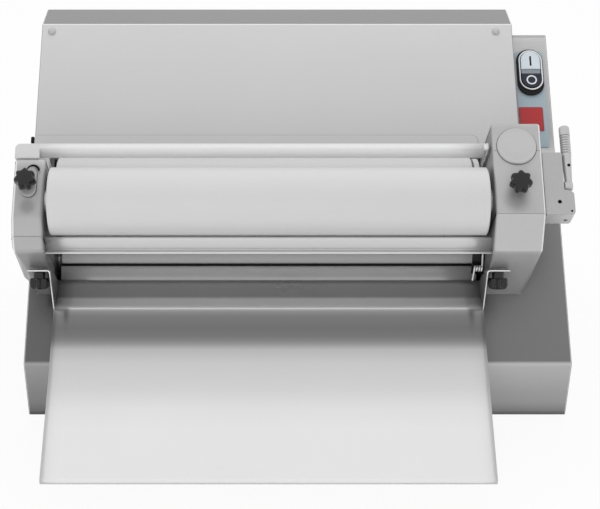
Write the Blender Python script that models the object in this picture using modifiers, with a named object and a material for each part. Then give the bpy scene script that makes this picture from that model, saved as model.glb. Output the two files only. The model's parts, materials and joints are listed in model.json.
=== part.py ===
"""Countertop dough sheeter. Metres, +Z up, +Y away from the operator, ground at Z = 0.

Sizes below are in millimetres. Widths are counted from the middle of the rollers. Points on the sloping cover
are given as U (up the slope from its front edge) and N (square off the slope)."""

import math

import bmesh
import bpy
from mathutils import Matrix

MM = 0.001
GAP = 0.3

ROLLER_X = -31.5
FRONT_Y = -122.2
SLOPE = math.radians(37.5)
EDGE_Z = 86.5
BASE_Z = 12.0
BODY_LEFT = -290.0
BODY_RIGHT = 359.0
BACK_Y = 353.0
SLOPE_LENGTH = 444.0
SHEET = 1.5

WALL_X = 260.0
FRAME_SHEET = 6.0
FRAME_FRONT_Y = 74.0
FRAME_BACK_Y = 190.0
OPENING_U = (79.0, 267.0)
OPENING_FRONT = (256.2, 91.0)
DRIVE_SLOT = (268.0, 296.0, 93.0, 248.0)

LEFT_OUTER = -296.0
RIGHT_OUTER = 317.0
LEFT_PROFILE = ((88, 0.4), (109.5, 83), (111.5, 89), (122, 99.5), (143, 109.5), (217, 109.5))
LEFT_PROFILE += ((217, 84), (233, 84), (233, 0.4))
RIGHT_PROFILE = ((88, 0.4), (110, 87), (143, 121), (258.5, 121), (258.5, 0.4))
LEFT_TOP_N = 109.5
RIGHT_TOP_N = 121.0
CAST_WALL = 3.0

ROLLER_R = 40.0
SHAFT_R = 8.0
FRONT_ROLLER = (171.2, 89.0)
REAR_ROLLER = (216.2, 18.7)
LOWER_ROLLER = (149.3, -37.2)
ROLLER_SPAN = {"front": (-254.0, 254.0), "rear": (-255.5, 246.0), "lower": (-252.0, 252.0)}

SPROCKET_X = (270.0, 278.0)
SPROCKET_R = 24.0
SPROCKET_TEETH = 12
MOTOR_SHAFT_YZ = (265.0, 85.0)
CHAIN_INNER_R = 24.7
CHAIN_SHEET = 3.0

HOOD_RIGHT = 311.5
HOOD_N = 23.0
HOOD_FOOT_U = 270.0
HOOD_TOP_Y = 340.6
HOOD_TOP_Z = 377.0
HOOD_BACK_Y = 392.6
HOOD_BACK_FOOT_Z = 300.0

BLOCK_X = (317.3, 351.0)
BLOCK_U = (143.0, 221.0)
BLOCK_N = (90.0, 118.0)
LEVER_UN = (181.0, 110.5)
LEVER_X = 347.0
NOTCH_X = 340.2
NOTCH_U = 173.6
GRIP_TOP_U = 257.5
GUARD_U = (229.6, 235.8)
GUARD_N = 111.0
GUARD_LIP_DROP = 10.8

BUTTONS_XU = (336.2, 391.0)
LENS_U = (385.2, 391.3)
CHUTE_CLAMP = (38.6, 191.0)
CHUTE_CLAMP_TILT = math.radians(27.7)

STEEL = (0.60, 0.60, 0.60, 1.0)
BRIGHT_STEEL = (0.76, 0.76, 0.76, 1.0)
DARK_STEEL = (0.30, 0.30, 0.31, 1.0)
CAST = (0.56, 0.56, 0.58, 1.0)
WHITE = (0.78, 0.78, 0.78, 1.0)
BLACK = (0.02, 0.02, 0.02, 1.0)
LABEL_BLUE = (0.33, 0.42, 0.50, 1.0)
LABEL_RED = (0.45, 0.03, 0.03, 1.0)

PARTS = bpy.data.collections.new("dough_sheeter")
CUTTERS = bpy.data.collections.new("cutters")


def clear_scene():
    for obj in list(bpy.data.objects):
        bpy.data.objects.remove(obj, do_unlink=True)
    bpy.context.scene.collection.children.link(PARTS)
    bpy.context.scene.collection.children.link(CUTTERS)
    CUTTERS.hide_render = True


def make_material(name, colour, roughness, metallic):
    material = bpy.data.materials.new(name)
    material.use_nodes = True
    shader = material.node_tree.nodes["Principled BSDF"]
    shader.inputs["Base Color"].default_value = colour
    shader.inputs["Roughness"].default_value = roughness
    shader.inputs["Metallic"].default_value = metallic
    material.diffuse_color = colour
    return material


def on_slope(u, n):
    """The (Y, Z) of a point U up the slope and N off it, in millimetres with Y from the front wall."""
    y = u * math.cos(SLOPE) - n * math.sin(SLOPE)
    z = EDGE_Z + u * math.sin(SLOPE) + n * math.cos(SLOPE)
    return y, z


def off_slope(y, z):
    """The (U, N) of a point given by Y and Z."""
    rise = z - EDGE_Z
    u = y * math.cos(SLOPE) + rise * math.sin(SLOPE)
    n = rise * math.cos(SLOPE) - y * math.sin(SLOPE)
    return u, n


def place(x, y, z):
    """World metres of a point given in the machine's own millimetres."""
    return ((ROLLER_X + x) * MM, (FRONT_Y + y) * MM, z * MM)


def place_un(x, u, n):
    y, z = on_slope(u, n)
    return place(x, y, z)


def new_node(name, mesh, look, cutter=False):
    obj = bpy.data.objects.new(name, mesh)
    if cutter:
        CUTTERS.objects.link(obj)
        obj.hide_render = True
        obj.display_type = "WIRE"
        return obj
    PARTS.objects.link(obj)
    mesh.materials.append(make_material(name, *look))
    return obj


def round_corners(outline, radii, steps=4):
    """The outline with each corner replaced by an arc of the radius given for it; 0 keeps the corner."""
    result = []
    count = len(outline)
    for i, corner in enumerate(outline):
        radius = radii[i % len(radii)]
        if radius == 0:
            result.append(corner)
            continue
        before = outline[i - 1]
        after = outline[(i + 1) % count]
        ax, ay = before[0] - corner[0], before[1] - corner[1]
        bx, by = after[0] - corner[0], after[1] - corner[1]
        la, lb = math.hypot(ax, ay), math.hypot(bx, by)
        ax, ay, bx, by = ax / la, ay / la, bx / lb, by / lb
        half = math.acos(max(-1.0, min(1.0, ax * bx + ay * by))) / 2
        reach = min(radius / math.tan(half), 0.49 * la, 0.49 * lb)
        actual = reach * math.tan(half)
        mx, my = ax + bx, ay + by
        length = math.hypot(mx, my)
        cx = corner[0] + mx / length * actual / math.sin(half)
        cy = corner[1] + my / length * actual / math.sin(half)
        start = math.atan2(corner[1] + ay * reach - cy, corner[0] + ax * reach - cx)
        end = math.atan2(corner[1] + by * reach - cy, corner[0] + bx * reach - cx)
        turn = (end - start + math.pi) % (2 * math.pi) - math.pi
        for k in range(steps + 1):
            angle = start + turn * k / steps
            result.append((cx + actual * math.cos(angle), cy + actual * math.sin(angle)))
    return result


def inset(outline, distances):
    """The outline with each edge moved inwards by its own distance; edge i runs from corner i to the next."""
    count = len(outline)
    area = 0.0
    for (ax, ay), (bx, by) in zip(outline, outline[1:] + outline[:1]):
        area += ax * by - bx * ay
    side = 1.0 if area > 0 else -1.0
    lines = []
    for i in range(count):
        (ax, ay), (bx, by) = outline[i], outline[(i + 1) % count]
        length = math.hypot(bx - ax, by - ay)
        nx, ny = -side * (by - ay) / length, side * (bx - ax) / length
        lines.append((nx, ny, nx * ax + ny * ay + distances[i]))
    result = []
    for i in range(count):
        (n1x, n1y, c1), (n2x, n2y, c2) = lines[i - 1], lines[i]
        cross = n1x * n2y - n2x * n1y
        result.append(((c1 * n2y - c2 * n1y) / cross, (n1x * c2 - n2x * c1) / cross))
    return result


def flat_mesh(name, outlines, thickness):
    """A flat plate: outlines in metres in the XY plane, holes after the first, centred on Z = 0."""
    curve = bpy.data.curves.new(name, "CURVE")
    curve.dimensions = "2D"
    curve.fill_mode = "BOTH"
    curve.extrude = thickness / 2
    for outline in outlines:
        spline = curve.splines.new("POLY")
        spline.points.add(len(outline) - 1)
        for point, (a, b) in zip(spline.points, outline):
            point.co = (a, b, 0.0, 1.0)
        spline.use_cyclic_u = True
    helper = bpy.data.objects.new(name + "_outline", curve)
    bpy.context.scene.collection.objects.link(helper)
    bpy.context.view_layer.update()
    graph = bpy.context.evaluated_depsgraph_get()
    mesh = bpy.data.meshes.new_from_object(helper.evaluated_get(graph))
    bpy.data.objects.remove(helper, do_unlink=True)
    bpy.data.curves.remove(curve)
    mesh.name = name
    shape = bmesh.new()
    shape.from_mesh(mesh)
    bmesh.ops.remove_doubles(shape, verts=shape.verts, dist=1e-6)
    bmesh.ops.recalc_face_normals(shape, faces=shape.faces)
    shape.to_mesh(mesh)
    shape.free()
    return mesh


def side_plate(name, outlines, x0, x1, look=None):
    """A plate cut from (Y, Z) outlines and running across the machine from x0 to x1."""
    metres = [[(y * MM, z * MM) for y, z in outline] for outline in outlines]
    mesh = flat_mesh(name, metres, (x1 - x0) * MM)
    obj = new_node(name, mesh, look, cutter=look is None)
    obj.location = place((x0 + x1) / 2, 0, 0)
    obj.rotation_euler = (math.pi / 2, 0, math.pi / 2)
    return obj


def slope_plate(name, outlines, n0, n1, look=None):
    """A plate cut from (X, U) outlines, lying parallel to the slope from n0 to n1."""
    xs = [x for x, _ in outlines[0]]
    us = [u for _, u in outlines[0]]
    mid_x = (min(xs) + max(xs)) / 2
    mid_u = (min(us) + max(us)) / 2
    metres = [[((x - mid_x) * MM, (u - mid_u) * MM) for x, u in outline] for outline in outlines]
    mesh = flat_mesh(name, metres, (n1 - n0) * MM)
    obj = new_node(name, mesh, look, cutter=look is None)
    obj.location = place_un(mid_x, mid_u, (n0 + n1) / 2)
    obj.rotation_euler = (SLOPE, 0, 0)
    return obj


def slope_bar(name, outline, u0, u1):
    """A cutter with an (X, N) outline, running up the slope from u0 to u1."""
    metres = [(x * MM, n * MM) for x, n in outline]
    mesh = flat_mesh(name, [metres], (u1 - u0) * MM)
    obj = new_node(name, mesh, None, cutter=True)
    obj.location = place_un(0, (u0 + u1) / 2, 0)
    obj.rotation_euler = (SLOPE + math.pi / 2, 0, 0)
    return obj


def block(name, centre, size, rotation, look=None, bevel=0.0):
    """A box of the given size in millimetres about centre, given in world metres."""
    mesh = bpy.data.meshes.new(name)
    shape = bmesh.new()
    bmesh.ops.create_cube(shape, size=1.0)
    scale = Matrix.Diagonal((size[0] * MM, size[1] * MM, size[2] * MM, 1.0))
    bmesh.ops.transform(shape, matrix=scale, verts=shape.verts)
    shape.to_mesh(mesh)
    shape.free()
    obj = new_node(name, mesh, look, cutter=look is None)
    obj.location = centre
    obj.rotation_euler = rotation
    if bevel:
        add_bevel(obj, bevel)
    return obj


def add_bevel(obj, width, segments=2):
    modifier = obj.modifiers.new("edge", "BEVEL")
    modifier.width = width * MM
    modifier.segments = segments
    modifier.limit_method = "ANGLE"
    modifier.angle_limit = math.radians(40)


def turned(name, profile, steps, look=None):
    """A body of revolution about Z. profile is (radius, height) in millimetres, from top to bottom."""
    mesh = bpy.data.meshes.new(name)
    closed = profile[0][0] > 0
    points = [(r * MM, 0.0, z * MM) for r, z in profile]
    edges = [(i, i + 1) for i in range(len(points) - 1)]
    if closed:
        edges.append((len(points) - 1, 0))
    mesh.from_pydata(points, edges, [])
    obj = new_node(name, mesh, look, cutter=look is None)
    screw = obj.modifiers.new("turn", "SCREW")
    screw.steps = steps
    screw.render_steps = steps
    screw.use_merge_vertices = True
    screw.merge_threshold = 0.00001
    screw.use_smooth_shade = False
    return obj


def cylinder(name, radius, x0, x1, centre_yz, steps=32, look=None):
    """A plain round bar across the machine."""
    half = (x1 - x0) / 2
    obj = turned(name, ((0, half), (radius, half), (radius, -half), (0, -half)), steps, look)
    obj.location = place((x0 + x1) / 2, *centre_yz)
    obj.rotation_euler = (0, math.pi / 2, 0)
    return obj


def boolean(obj, other, operation="DIFFERENCE"):
    modifier = obj.modifiers.new(other.name, "BOOLEAN")
    modifier.operation = operation
    modifier.solver = "EXACT"
    modifier.object = other


def box_outline(a0, a1, b0, b1):
    return [(a0, b0), (a1, b0), (a1, b1), (a0, b1)]


def circle_outline(centre, radius, steps=24):
    turn = 2 * math.pi / steps
    points = [(radius * math.cos(turn * i), radius * math.sin(turn * i)) for i in range(steps)]
    return [(centre[0] + a, centre[1] + b) for a, b in points]


def un_outline(points):
    return [on_slope(u, n) for u, n in points]


def body_shell():
    inner_edge_z = EDGE_Z + SHEET * math.tan(SLOPE) - SHEET / math.cos(SLOPE)
    outline = [(0, BASE_Z), (SHEET, BASE_Z), (SHEET, inner_edge_z), on_slope(SLOPE_LENGTH, -SHEET)]
    outline += [on_slope(SLOPE_LENGTH, 0), (0, EDGE_Z)]
    shell = side_plate("body_shell", [outline], BODY_LEFT, BODY_RIGHT, (STEEL, 0.4, 1.0))
    reach = WALL_X + FRAME_SHEET + 1.2
    narrow, step_u = OPENING_FRONT
    throat = [(-reach, step_u), (-narrow, step_u), (-narrow, OPENING_U[0]), (narrow, OPENING_U[0])]
    throat += [(narrow, step_u), (reach, step_u), (reach, DRIVE_SLOT[2])]
    throat += [(DRIVE_SLOT[1], DRIVE_SLOT[2]), (DRIVE_SLOT[1], DRIVE_SLOT[3]), (reach, DRIVE_SLOT[3])]
    throat += [(reach, OPENING_U[1]), (-reach, OPENING_U[1])]
    boolean(shell, slope_plate("throat_cut", [throat], -12, 12))


def side_panels():
    margin = SHEET + GAP
    corner_z = EDGE_Z - margin / math.cos(SLOPE) + margin * math.tan(SLOPE)
    back_y = BACK_Y - 2.2
    back_z = EDGE_Z + back_y * math.tan(SLOPE) - margin / math.cos(SLOPE)
    outline = [(margin, BASE_Z), (back_y, BASE_Z), (back_y, back_z), (margin, corner_z)]
    look = (STEEL, 0.4, 1.0)
    side_plate("left_side_panel", [outline], BODY_LEFT + 0.2, BODY_LEFT + 2.2, look)
    side_plate("right_side_panel", [outline], BODY_RIGHT - 2.2, BODY_RIGHT - 0.2, look)


def back_panel():
    slots = []
    for row in range(6):
        z = 150 + row * 14
        slots.append(box_outline(-60, 110, z, z + 6))
    outline = box_outline(BODY_LEFT + 0.2, BODY_RIGHT - 0.2, BASE_Z, 353.5)
    metres = [[(x * MM, z * MM) for x, z in part] for part in [outline] + slots]
    mesh = flat_mesh("back_panel", metres, SHEET * MM)
    panel = new_node("back_panel", mesh, (STEEL, 0.4, 1.0))
    panel.location = place(0, BACK_Y - 0.9, 0)
    panel.rotation_euler = (math.pi / 2, 0, 0)


def bottom_plate():
    x0 = BODY_LEFT + 2.5
    x1 = BODY_RIGHT - 2.5
    centre = place((x0 + x1) / 2, (1.8 + BACK_Y - 2.2) / 2, BASE_Z + SHEET / 2)
    block("bottom_plate", centre, (x1 - x0, BACK_Y - 4.0, SHEET), (0, 0, 0), (STEEL, 0.45, 1.0))


def feet():
    profile = ((0, 5.8), (13, 5.8), (13.5, 4.5), (11.5, -5), (10.5, -5.9), (0, -5.9))
    spots = {"foot_front_left": (-255, 36), "foot_front_right": (324, 36)}
    spots.update({"foot_back_left": (-255, 316), "foot_back_right": (324, 316)})
    for name, (x, y) in spots.items():
        foot = turned(name, profile, 20, (BLACK, 0.8, 0.0))
        foot.location = place(x, y, 5.9)


def cable_gland():
    profile = ((4.2, 12), (8, 12), (9.5, 9), (9.5, 4), (13, 4), (13, -4), (4.2, -4))
    gland = turned("cable_gland", profile, 12, (BLACK, 0.5, 0.0))
    gland.location = place(300, BACK_Y + 4.2, 60)
    gland.rotation_euler = (-math.pi / 2, 0, 0)


def hood():
    foot_u, foot_n = HOOD_FOOT_U, HOOD_N
    top_u = off_slope(HOOD_TOP_Y, HOOD_TOP_Z)[0]
    outer = un_outline([(foot_u, 0.6), (foot_u, foot_n), (top_u, foot_n)])
    top_z = outer[2][1]
    outer += [(HOOD_BACK_Y, top_z), (HOOD_BACK_Y, HOOD_BACK_FOOT_Z), (BACK_Y + 1.2, HOOD_BACK_FOOT_Z)]
    outer += [(BACK_Y + 1.2, on_slope(446.6, 0.6)[1])]
    inner = un_outline([(foot_u + SHEET, -9), (foot_u + SHEET, foot_n - SHEET)])
    fold_u = top_u - SHEET * math.tan(SLOPE / 2)
    inner += [on_slope(fold_u, foot_n - SHEET), (HOOD_BACK_Y - SHEET, top_z - SHEET)]
    inner += [(HOOD_BACK_Y - SHEET, HOOD_BACK_FOOT_Z - 9), (BACK_Y - 8, HOOD_BACK_FOOT_Z - 9)]
    inner += [on_slope(440, -9)]
    look = (STEEL, 0.35, 1.0)
    shell = side_plate("slide_hood", [outer], BODY_LEFT, HOOD_RIGHT, look)
    cut = side_plate("hood_inside", [inner], BODY_LEFT + SHEET, HOOD_RIGHT - SHEET)
    boolean(shell, cut)


def hood_trim():
    profile = ((0, 2.6), (2.6, 2.2), (4.2, 1.1), (4.8, 0), (0, 0))
    for name, x in (("hood_screw_left", -277.0), ("hood_screw_right", 290.5)):
        screw = turned(name, profile, 16, (DARK_STEEL, 0.35, 1.0))
        screw.location = place_un(x, 436.0, HOOD_N + GAP)
        screw.rotation_euler = (SLOPE, 0, 0)
    outline = round_corners(box_outline(BODY_LEFT, 259.0, 258.5, 288.6), (0, 0, 8, 0), 6)
    slope_plate("slide_lip", [outline], HOOD_N + GAP, HOOD_N + 1.3, (STEEL, 0.35, 1.0))
    centre = place_un(BODY_LEFT - 3.0, 284.0, 17.0)
    block("hood_bumper", centre, (5.2, 9.0, 9.0), (SLOPE, 0, 0), (BLACK, 0.7, 0.0), 1.2)


def side_frames():
    for name, profile, x0 in (
        ("left_frame", LEFT_PROFILE, -WALL_X - GAP - FRAME_SHEET),
        ("right_frame", RIGHT_PROFILE, WALL_X + GAP),
    ):
        clear = CAST_WALL + 0.6
        points = inset(list(profile), [clear] * (len(profile) - 1) + [2.6])
        points[0] = (points[0][0] + 3.0, points[0][1])
        outline = un_outline(points[::-1])
        outline += [(FRAME_FRONT_Y, BASE_Z + 1.8), (FRAME_BACK_Y, BASE_Z + 1.8)]
        holes = []
        for centre in (FRONT_ROLLER, REAR_ROLLER, LOWER_ROLLER):
            holes.append(circle_outline(on_slope(*centre), 12.0))
        look = (STEEL, 0.4, 1.0)
        side_plate(name, [outline] + holes, x0, x0 + FRAME_SHEET, look)


def cast_cover(name, profile, radii, x_profile, x_inner, inner_x):
    """A hollow cover with a (U, N) side profile and an (X, N) front profile, open below and to the throat."""
    xs = [x for x, _ in x_profile]
    outer = round_corners(list(profile), radii)
    cover = side_plate(name, [un_outline(outer)], min(xs), max(xs), (CAST, 0.45, 0.8))
    boolean(cover, slope_bar(name + "_taper", x_profile, 60, 280), "INTERSECT")
    inner = inset(list(profile), [CAST_WALL] * (len(profile) - 1) + [-6.0])
    hollow = side_plate(name + "_inside", [un_outline(inner)], inner_x[0], inner_x[1])
    boolean(hollow, slope_bar(name + "_inside_taper", x_inner, 60, 280), "INTERSECT")
    boolean(cover, hollow)
    return cover


def left_cover():
    x0, top = LEFT_OUTER, LEFT_TOP_N
    x_profile = [(x0 + 17, -2), (x0 + 8, 57), (x0, 86), (x0, top - 4), (x0 + 1.2, top - 1.2), (x0 + 4, top)]
    x_profile += [(x0 + 4, top + 3), (-WALL_X, top + 3), (-WALL_X, -2)]
    x_inner = [(x0 + 20.6, -9), (x0 + 11.4, 57), (x0 + 3.4, 86), (x0 + 3.4, top + 3)]
    x_inner += [(-WALL_X + 5, top + 3), (-WALL_X + 5, -9)]
    radii = (0, 2, 2, 5, 6, 2, 0, 2, 0)
    cast_cover("left_cover", LEFT_PROFILE, radii, x_profile, x_inner, (x0 + 3, -WALL_X + 4))


def right_cover():
    x0, top = RIGHT_OUTER, RIGHT_TOP_N
    x_profile = [(WALL_X, -2), (WALL_X, top + 3), (x0 - 4, top + 3), (x0 - 4, top), (x0 - 1.2, top - 1.2)]
    x_profile += [(x0, top - 4), (x0, 86), (x0 - 4.5, 57), (x0 - 14, -2)]
    x_inner = [(WALL_X - 5, -9), (WALL_X - 5, top + 3), (x0 - 3.2, top + 3), (x0 - 3.4, 86)]
    x_inner += [(x0 - 7.8, 57), (x0 - 18, -9)]
    radii = (0, 6, 6, 5, 0)
    cover = cast_cover("right_cover", RIGHT_PROFILE, radii, x_profile, x_inner, (WALL_X - 4, x0 - 3))
    boolean(cover, cylinder("gap_shaft_hole", 5.6, x0 - 8, x0 + 5, on_slope(*LEVER_UN), 24))


def rollers():
    spots = {"front": FRONT_ROLLER, "rear": REAR_ROLLER, "lower": LOWER_ROLLER}
    for name, centre in spots.items():
        face_left, face_right = ROLLER_SPAN[name]
        left, right = -(WALL_X + 8.0), 284.0
        profile = [(0, right), (SHAFT_R, right), (SHAFT_R, face_right), (ROLLER_R - 1.2, face_right)]
        profile += [(ROLLER_R, face_right - 1.2), (ROLLER_R, face_left + 1.2), (ROLLER_R - 1.2, face_left)]
        profile += [(SHAFT_R, face_left), (SHAFT_R, left), (0, left)]
        roller = turned(name + "_roller", profile, 48, (WHITE, 0.35, 0.0))
        roller.location = place(0, *on_slope(*centre))
        roller.rotation_euler = (0, math.pi / 2, 0)


def bushes():
    bore = SHAFT_R + GAP
    spots = {"front": FRONT_ROLLER, "rear": REAR_ROLLER, "lower": LOWER_ROLLER}
    for name, centre in spots.items():
        for side, sign in (("left", -1), ("right", 1)):
            outer = WALL_X + FRAME_SHEET + GAP
            inner = WALL_X
            flange = WALL_X - 3.0
            collar = [(11.7, outer), (11.7, inner), (15.0, inner), (15.0, flange)]
            profile = [(bore, outer)] + collar + [(bore, flange)]
            bush = turned(f"{side}_{name}_bush", profile, 20, (BRIGHT_STEEL, 0.4, 1.0))
            bush.location = place(0, *on_slope(*centre))
            bush.rotation_euler = (0, sign * math.pi / 2, 0)


def sprocket(name, centre_yz):
    teeth = []
    pitch = 2 * math.pi / SPROCKET_TEETH
    root = SPROCKET_R - 4.5
    for tooth in range(SPROCKET_TEETH):
        for part, radius in ((0.0, root), (0.3, root), (0.5, SPROCKET_R), (0.8, SPROCKET_R)):
            angle = (tooth + part) * pitch
            teeth.append((radius * math.cos(angle) * MM, radius * math.sin(angle) * MM))
    bore = [(a * MM, b * MM) for a, b in circle_outline((0, 0), SHAFT_R + GAP, 20)]
    mesh = flat_mesh(name, [teeth, bore], (SPROCKET_X[1] - SPROCKET_X[0]) * MM)
    obj = new_node(name, mesh, (DARK_STEEL, 0.5, 1.0))
    obj.location = place(sum(SPROCKET_X) / 2, *centre_yz)
    obj.rotation_euler = (math.pi / 2, 0, math.pi / 2)


def drive():
    sprocket("rear_sprocket", on_slope(*REAR_ROLLER))
    sprocket("motor_sprocket", MOTOR_SHAFT_YZ)
    outline = ((0, 48), (SHAFT_R, 48), (SHAFT_R, -45), (0, -45))
    shaft = turned("motor_shaft", outline, 24, (BRIGHT_STEEL, 0.4, 1.0))
    shaft.location = place(236.0, *MOTOR_SHAFT_YZ)
    shaft.rotation_euler = (0, math.pi / 2, 0)
    near = on_slope(*REAR_ROLLER)
    far = MOTOR_SHAFT_YZ
    angle = math.atan2(far[1] - near[1], far[0] - near[0])
    loops = []
    for radius in (CHAIN_INNER_R + CHAIN_SHEET, CHAIN_INNER_R):
        loop = []
        for centre, start in ((far, angle - math.pi / 2), (near, angle + math.pi / 2)):
            for k in range(13):
                turn = start + math.pi * k / 12
                loop.append((centre[0] + radius * math.cos(turn), centre[1] + radius * math.sin(turn)))
        loops.append(loop)
    side_plate("drive_chain", loops, SPROCKET_X[0] + 1, SPROCKET_X[1] - 1, (DARK_STEEL, 0.5, 1.0))


def gearmotor():
    y, z = MOTOR_SHAFT_YZ
    centre = place(150.0, y, (BASE_Z + 1.8 + z + 35) / 2)
    box = block("gearmotor", centre, (80, 76, z + 35 - BASE_Z - 1.8), (0, 0, 0), (DARK_STEEL, 0.55, 0.6))
    case = turned("motor_case", ((0, 90), (42, 90), (42, -84), (36, -90), (0, -90)), 32)
    case.location = place(25.0, y, 70.0)
    case.rotation_euler = (0, math.pi / 2, 0)
    boolean(box, case, "UNION")


def infeed_guard():
    (u0, u1), top = GUARD_U, GUARD_N
    corners = [(LEFT_OUTER, 217.5), (-279.5, 217.5), (-279.5, u0 + 0.1), (257.5, u0 + 0.1), (257.5, u1)]
    outline = round_corners(corners + [(LEFT_OUTER, u1)], (0, 0, 0, 0, 0, 6))
    guard = slope_plate("infeed_guard", [outline], top - 1.5, top, (BRIGHT_STEEL, 0.35, 1.0))
    lip_y, lip_z = on_slope(u0, top - 0.5)
    lip = box_outline(lip_y, lip_y + 1.4, lip_z - GUARD_LIP_DROP, lip_z)
    boolean(guard, side_plate("guard_lip", [lip], -278.0, 241.5), "UNION")
    wing = un_outline(box_outline(u0 - 0.2, u1 + 1.0, 50.0, top - 0.7))
    boolean(guard, side_plate("guard_wing", [wing], 256.0, 257.3), "UNION")
    pad = box_outline(LEFT_OUTER + 1.0, -279.8, 218.0, u1 - 1.0)
    boolean(guard, slope_plate("guard_pad", [pad], 84.6, top - 0.8), "UNION")


def scraper_rail():
    outline = [(44, 213), (51.5, 213), (51.5, 228.6), (53.4, 229.6), (52.6, 231.2), (50, 230.4)]
    outline += [(50, 214.5), (44, 214.5)]
    side_plate("scraper_rail", [outline], -259.7, 259.7, (STEEL, 0.35, 1.0))


def lower_scraper():
    outline = [(101.2, 160), (90.4, 146), (90.4, 128), (88.9, 128), (88.9, 146.6), (100.0, 161.0)]
    side_plate("lower_scraper", [outline], -252.0, 252.0, (STEEL, 0.4, 1.0))


def spring_clip():
    ring_z, ring_r, x = 183.0, 2.9, 247.6
    points = [(x - 5.6, 57.4, 168), (x - 4.6, 57.1, 178)]
    for k in range(27):
        angle = math.pi + 2 * math.pi * k / 8
        across = x - 4.4 + 9.4 * k / 26
        points.append((across, 60 + ring_r * math.cos(angle), ring_z - ring_r * math.sin(angle)))
    points += [(x + 4.9, 60.6, 190), (x + 4.4, 60.6, 203)]
    curve = bpy.data.curves.new("spring_clip", "CURVE")
    curve.dimensions = "3D"
    curve.bevel_depth = 1.1 * MM
    curve.bevel_resolution = 2
    curve.use_fill_caps = True
    spline = curve.splines.new("POLY")
    spline.points.add(len(points) - 1)
    for point, (px, py, pz) in zip(spline.points, points):
        point.co = ((px - x) * MM, (py - 60) * MM, (pz - ring_z) * MM, 1.0)
    clip = bpy.data.objects.new("spring_clip", curve)
    PARTS.objects.link(clip)
    curve.materials.append(make_material("spring_clip", BRIGHT_STEEL, 0.3, 1.0))
    clip.location = place(x, 60, ring_z)


def ear_point(across, above):
    """The (Y, Z) of a point on the chute's ears, from the top of the clamp knobs' stems."""
    y, z = CHUTE_CLAMP
    y += across * math.cos(CHUTE_CLAMP_TILT) + above * math.sin(CHUTE_CLAMP_TILT)
    z += above * math.cos(CHUTE_CLAMP_TILT) - across * math.sin(CHUTE_CLAMP_TILT)
    return y, z


def chute():
    path = [(87.3, 148.0), (76, 143.2), (66, 140.2), (58, 139.2), (49, 139.5), (44, 139.6), (40.5, 138.8)]
    path += [(36, 136.4), (28, 130.9), (18, 124.0), (8, 117.2), (-4, 109.6), (-18, 101.7), (-34, 93.1)]
    path += [(-147, 33.8), (-148.2, 32.0), (-147.6, 28.5)]
    under = [(y + 0.8, z - 1.25) for y, z in path]
    under[0] = (87.9, 146.6)
    under[-1], under[-2], under[-3] = (-146.1, 28.5), (-146.6, 31.6), (-146.2, 32.5)
    look = (BRIGHT_STEEL, 0.3, 1.0)
    tray = side_plate("chute", [path + under[::-1]], -255.5, 255.5, look)
    ear = [ear_point(-8.0, 0.3), ear_point(8.2, 0.3), ear_point(8.2, 1.8), ear_point(-8.0, 1.8)]
    rear_edge = [(84, 142.0), (84, 158), (70, 176)]
    front_edge = [(36.5, 150), (38.5, 137.5)]
    fin = rear_edge + [ear_point(8.2, 1.8), ear_point(-8.0, 1.8)] + front_edge
    fin += [(60, 138.6)]
    outer = 255.5
    sides = (("left", -outer, (-281.0, -outer - GAP)), ("right", outer - SHEET, (outer + GAP, 281.0)))
    for side, fin_x, ear_x in sides:
        boolean(tray, side_plate(f"{side}_fin", [fin], fin_x, fin_x + SHEET), "UNION")
        side_plate(f"{side}_chute_ear", [ear], *ear_x, look)


def lobed_outline(radius, lobes=7, steps=8):
    count = lobes * steps
    points = []
    for i in range(count):
        angle = 2 * math.pi * i / count
        swell = 0.5 + 0.5 * math.cos(lobes * angle)
        r = radius * (0.80 + 0.20 * swell ** 0.55)
        points.append((r * math.cos(angle) * MM, r * math.sin(angle) * MM))
    return points


def knob(name, radius, stem_r, stem, head, location, rotation):
    """A lobed clamp knob along its own Z: the stem from 0 to stem, the head above it."""
    obj = new_node(name, flat_mesh(name, [lobed_outline(radius)], head * MM), (BLACK, 0.45, 0.0))
    obj.location = location
    obj.rotation_euler = rotation
    length = stem + 2.0
    profile = ((0, length / 2), (stem_r, length / 2), (stem_r, -length / 2), (0, -length / 2))
    neck = turned(name + "_neck", profile, 24)
    neck.parent = obj
    neck.location = (0, 0, -(head / 2 + stem - length / 2) * MM)
    boolean(obj, neck, "UNION")


def knobs():
    up = (SLOPE, 0, 0)
    down = (math.pi - CHUTE_CLAMP_TILT, 0, 0)
    left_n = LEFT_TOP_N + 4.0
    knob("left_upper_knob", 12.8, 6.5, 4, 14, place_un(-280.0, 184.6, left_n + 11), up)
    knob("right_upper_knob", 13.2, 6.5, 7, 14, place_un(287.6, 176.4, RIGHT_TOP_N + GAP + 14), up)
    under_ear = ear_point(0.0, -13.5)
    knob("left_lower_knob", 11.9, 7.0, 7, 13, place(-268.0, *under_ear), down)
    knob("right_lower_knob", 11.9, 7.0, 7, 13, place(268.0, *under_ear), down)


def cover_trim():
    disc = turned("cover_cap", ((0, 2.4), (21.6, 2.4), (23, 1.2), (23, 0), (0, 0)), 40, (CAST, 0.5, 0.6))
    disc.location = place_un(287.9, 227.0, RIGHT_TOP_N + GAP)
    disc.rotation_euler = (SLOPE, 0, 0)
    boss = shifted(stadium(9.0, 38.0), -276.5, 186.5)
    slope_plate("left_clamp_boss", [boss], LEFT_TOP_N + GAP, LEFT_TOP_N + 3.6, (CAST, 0.45, 0.8))


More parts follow.
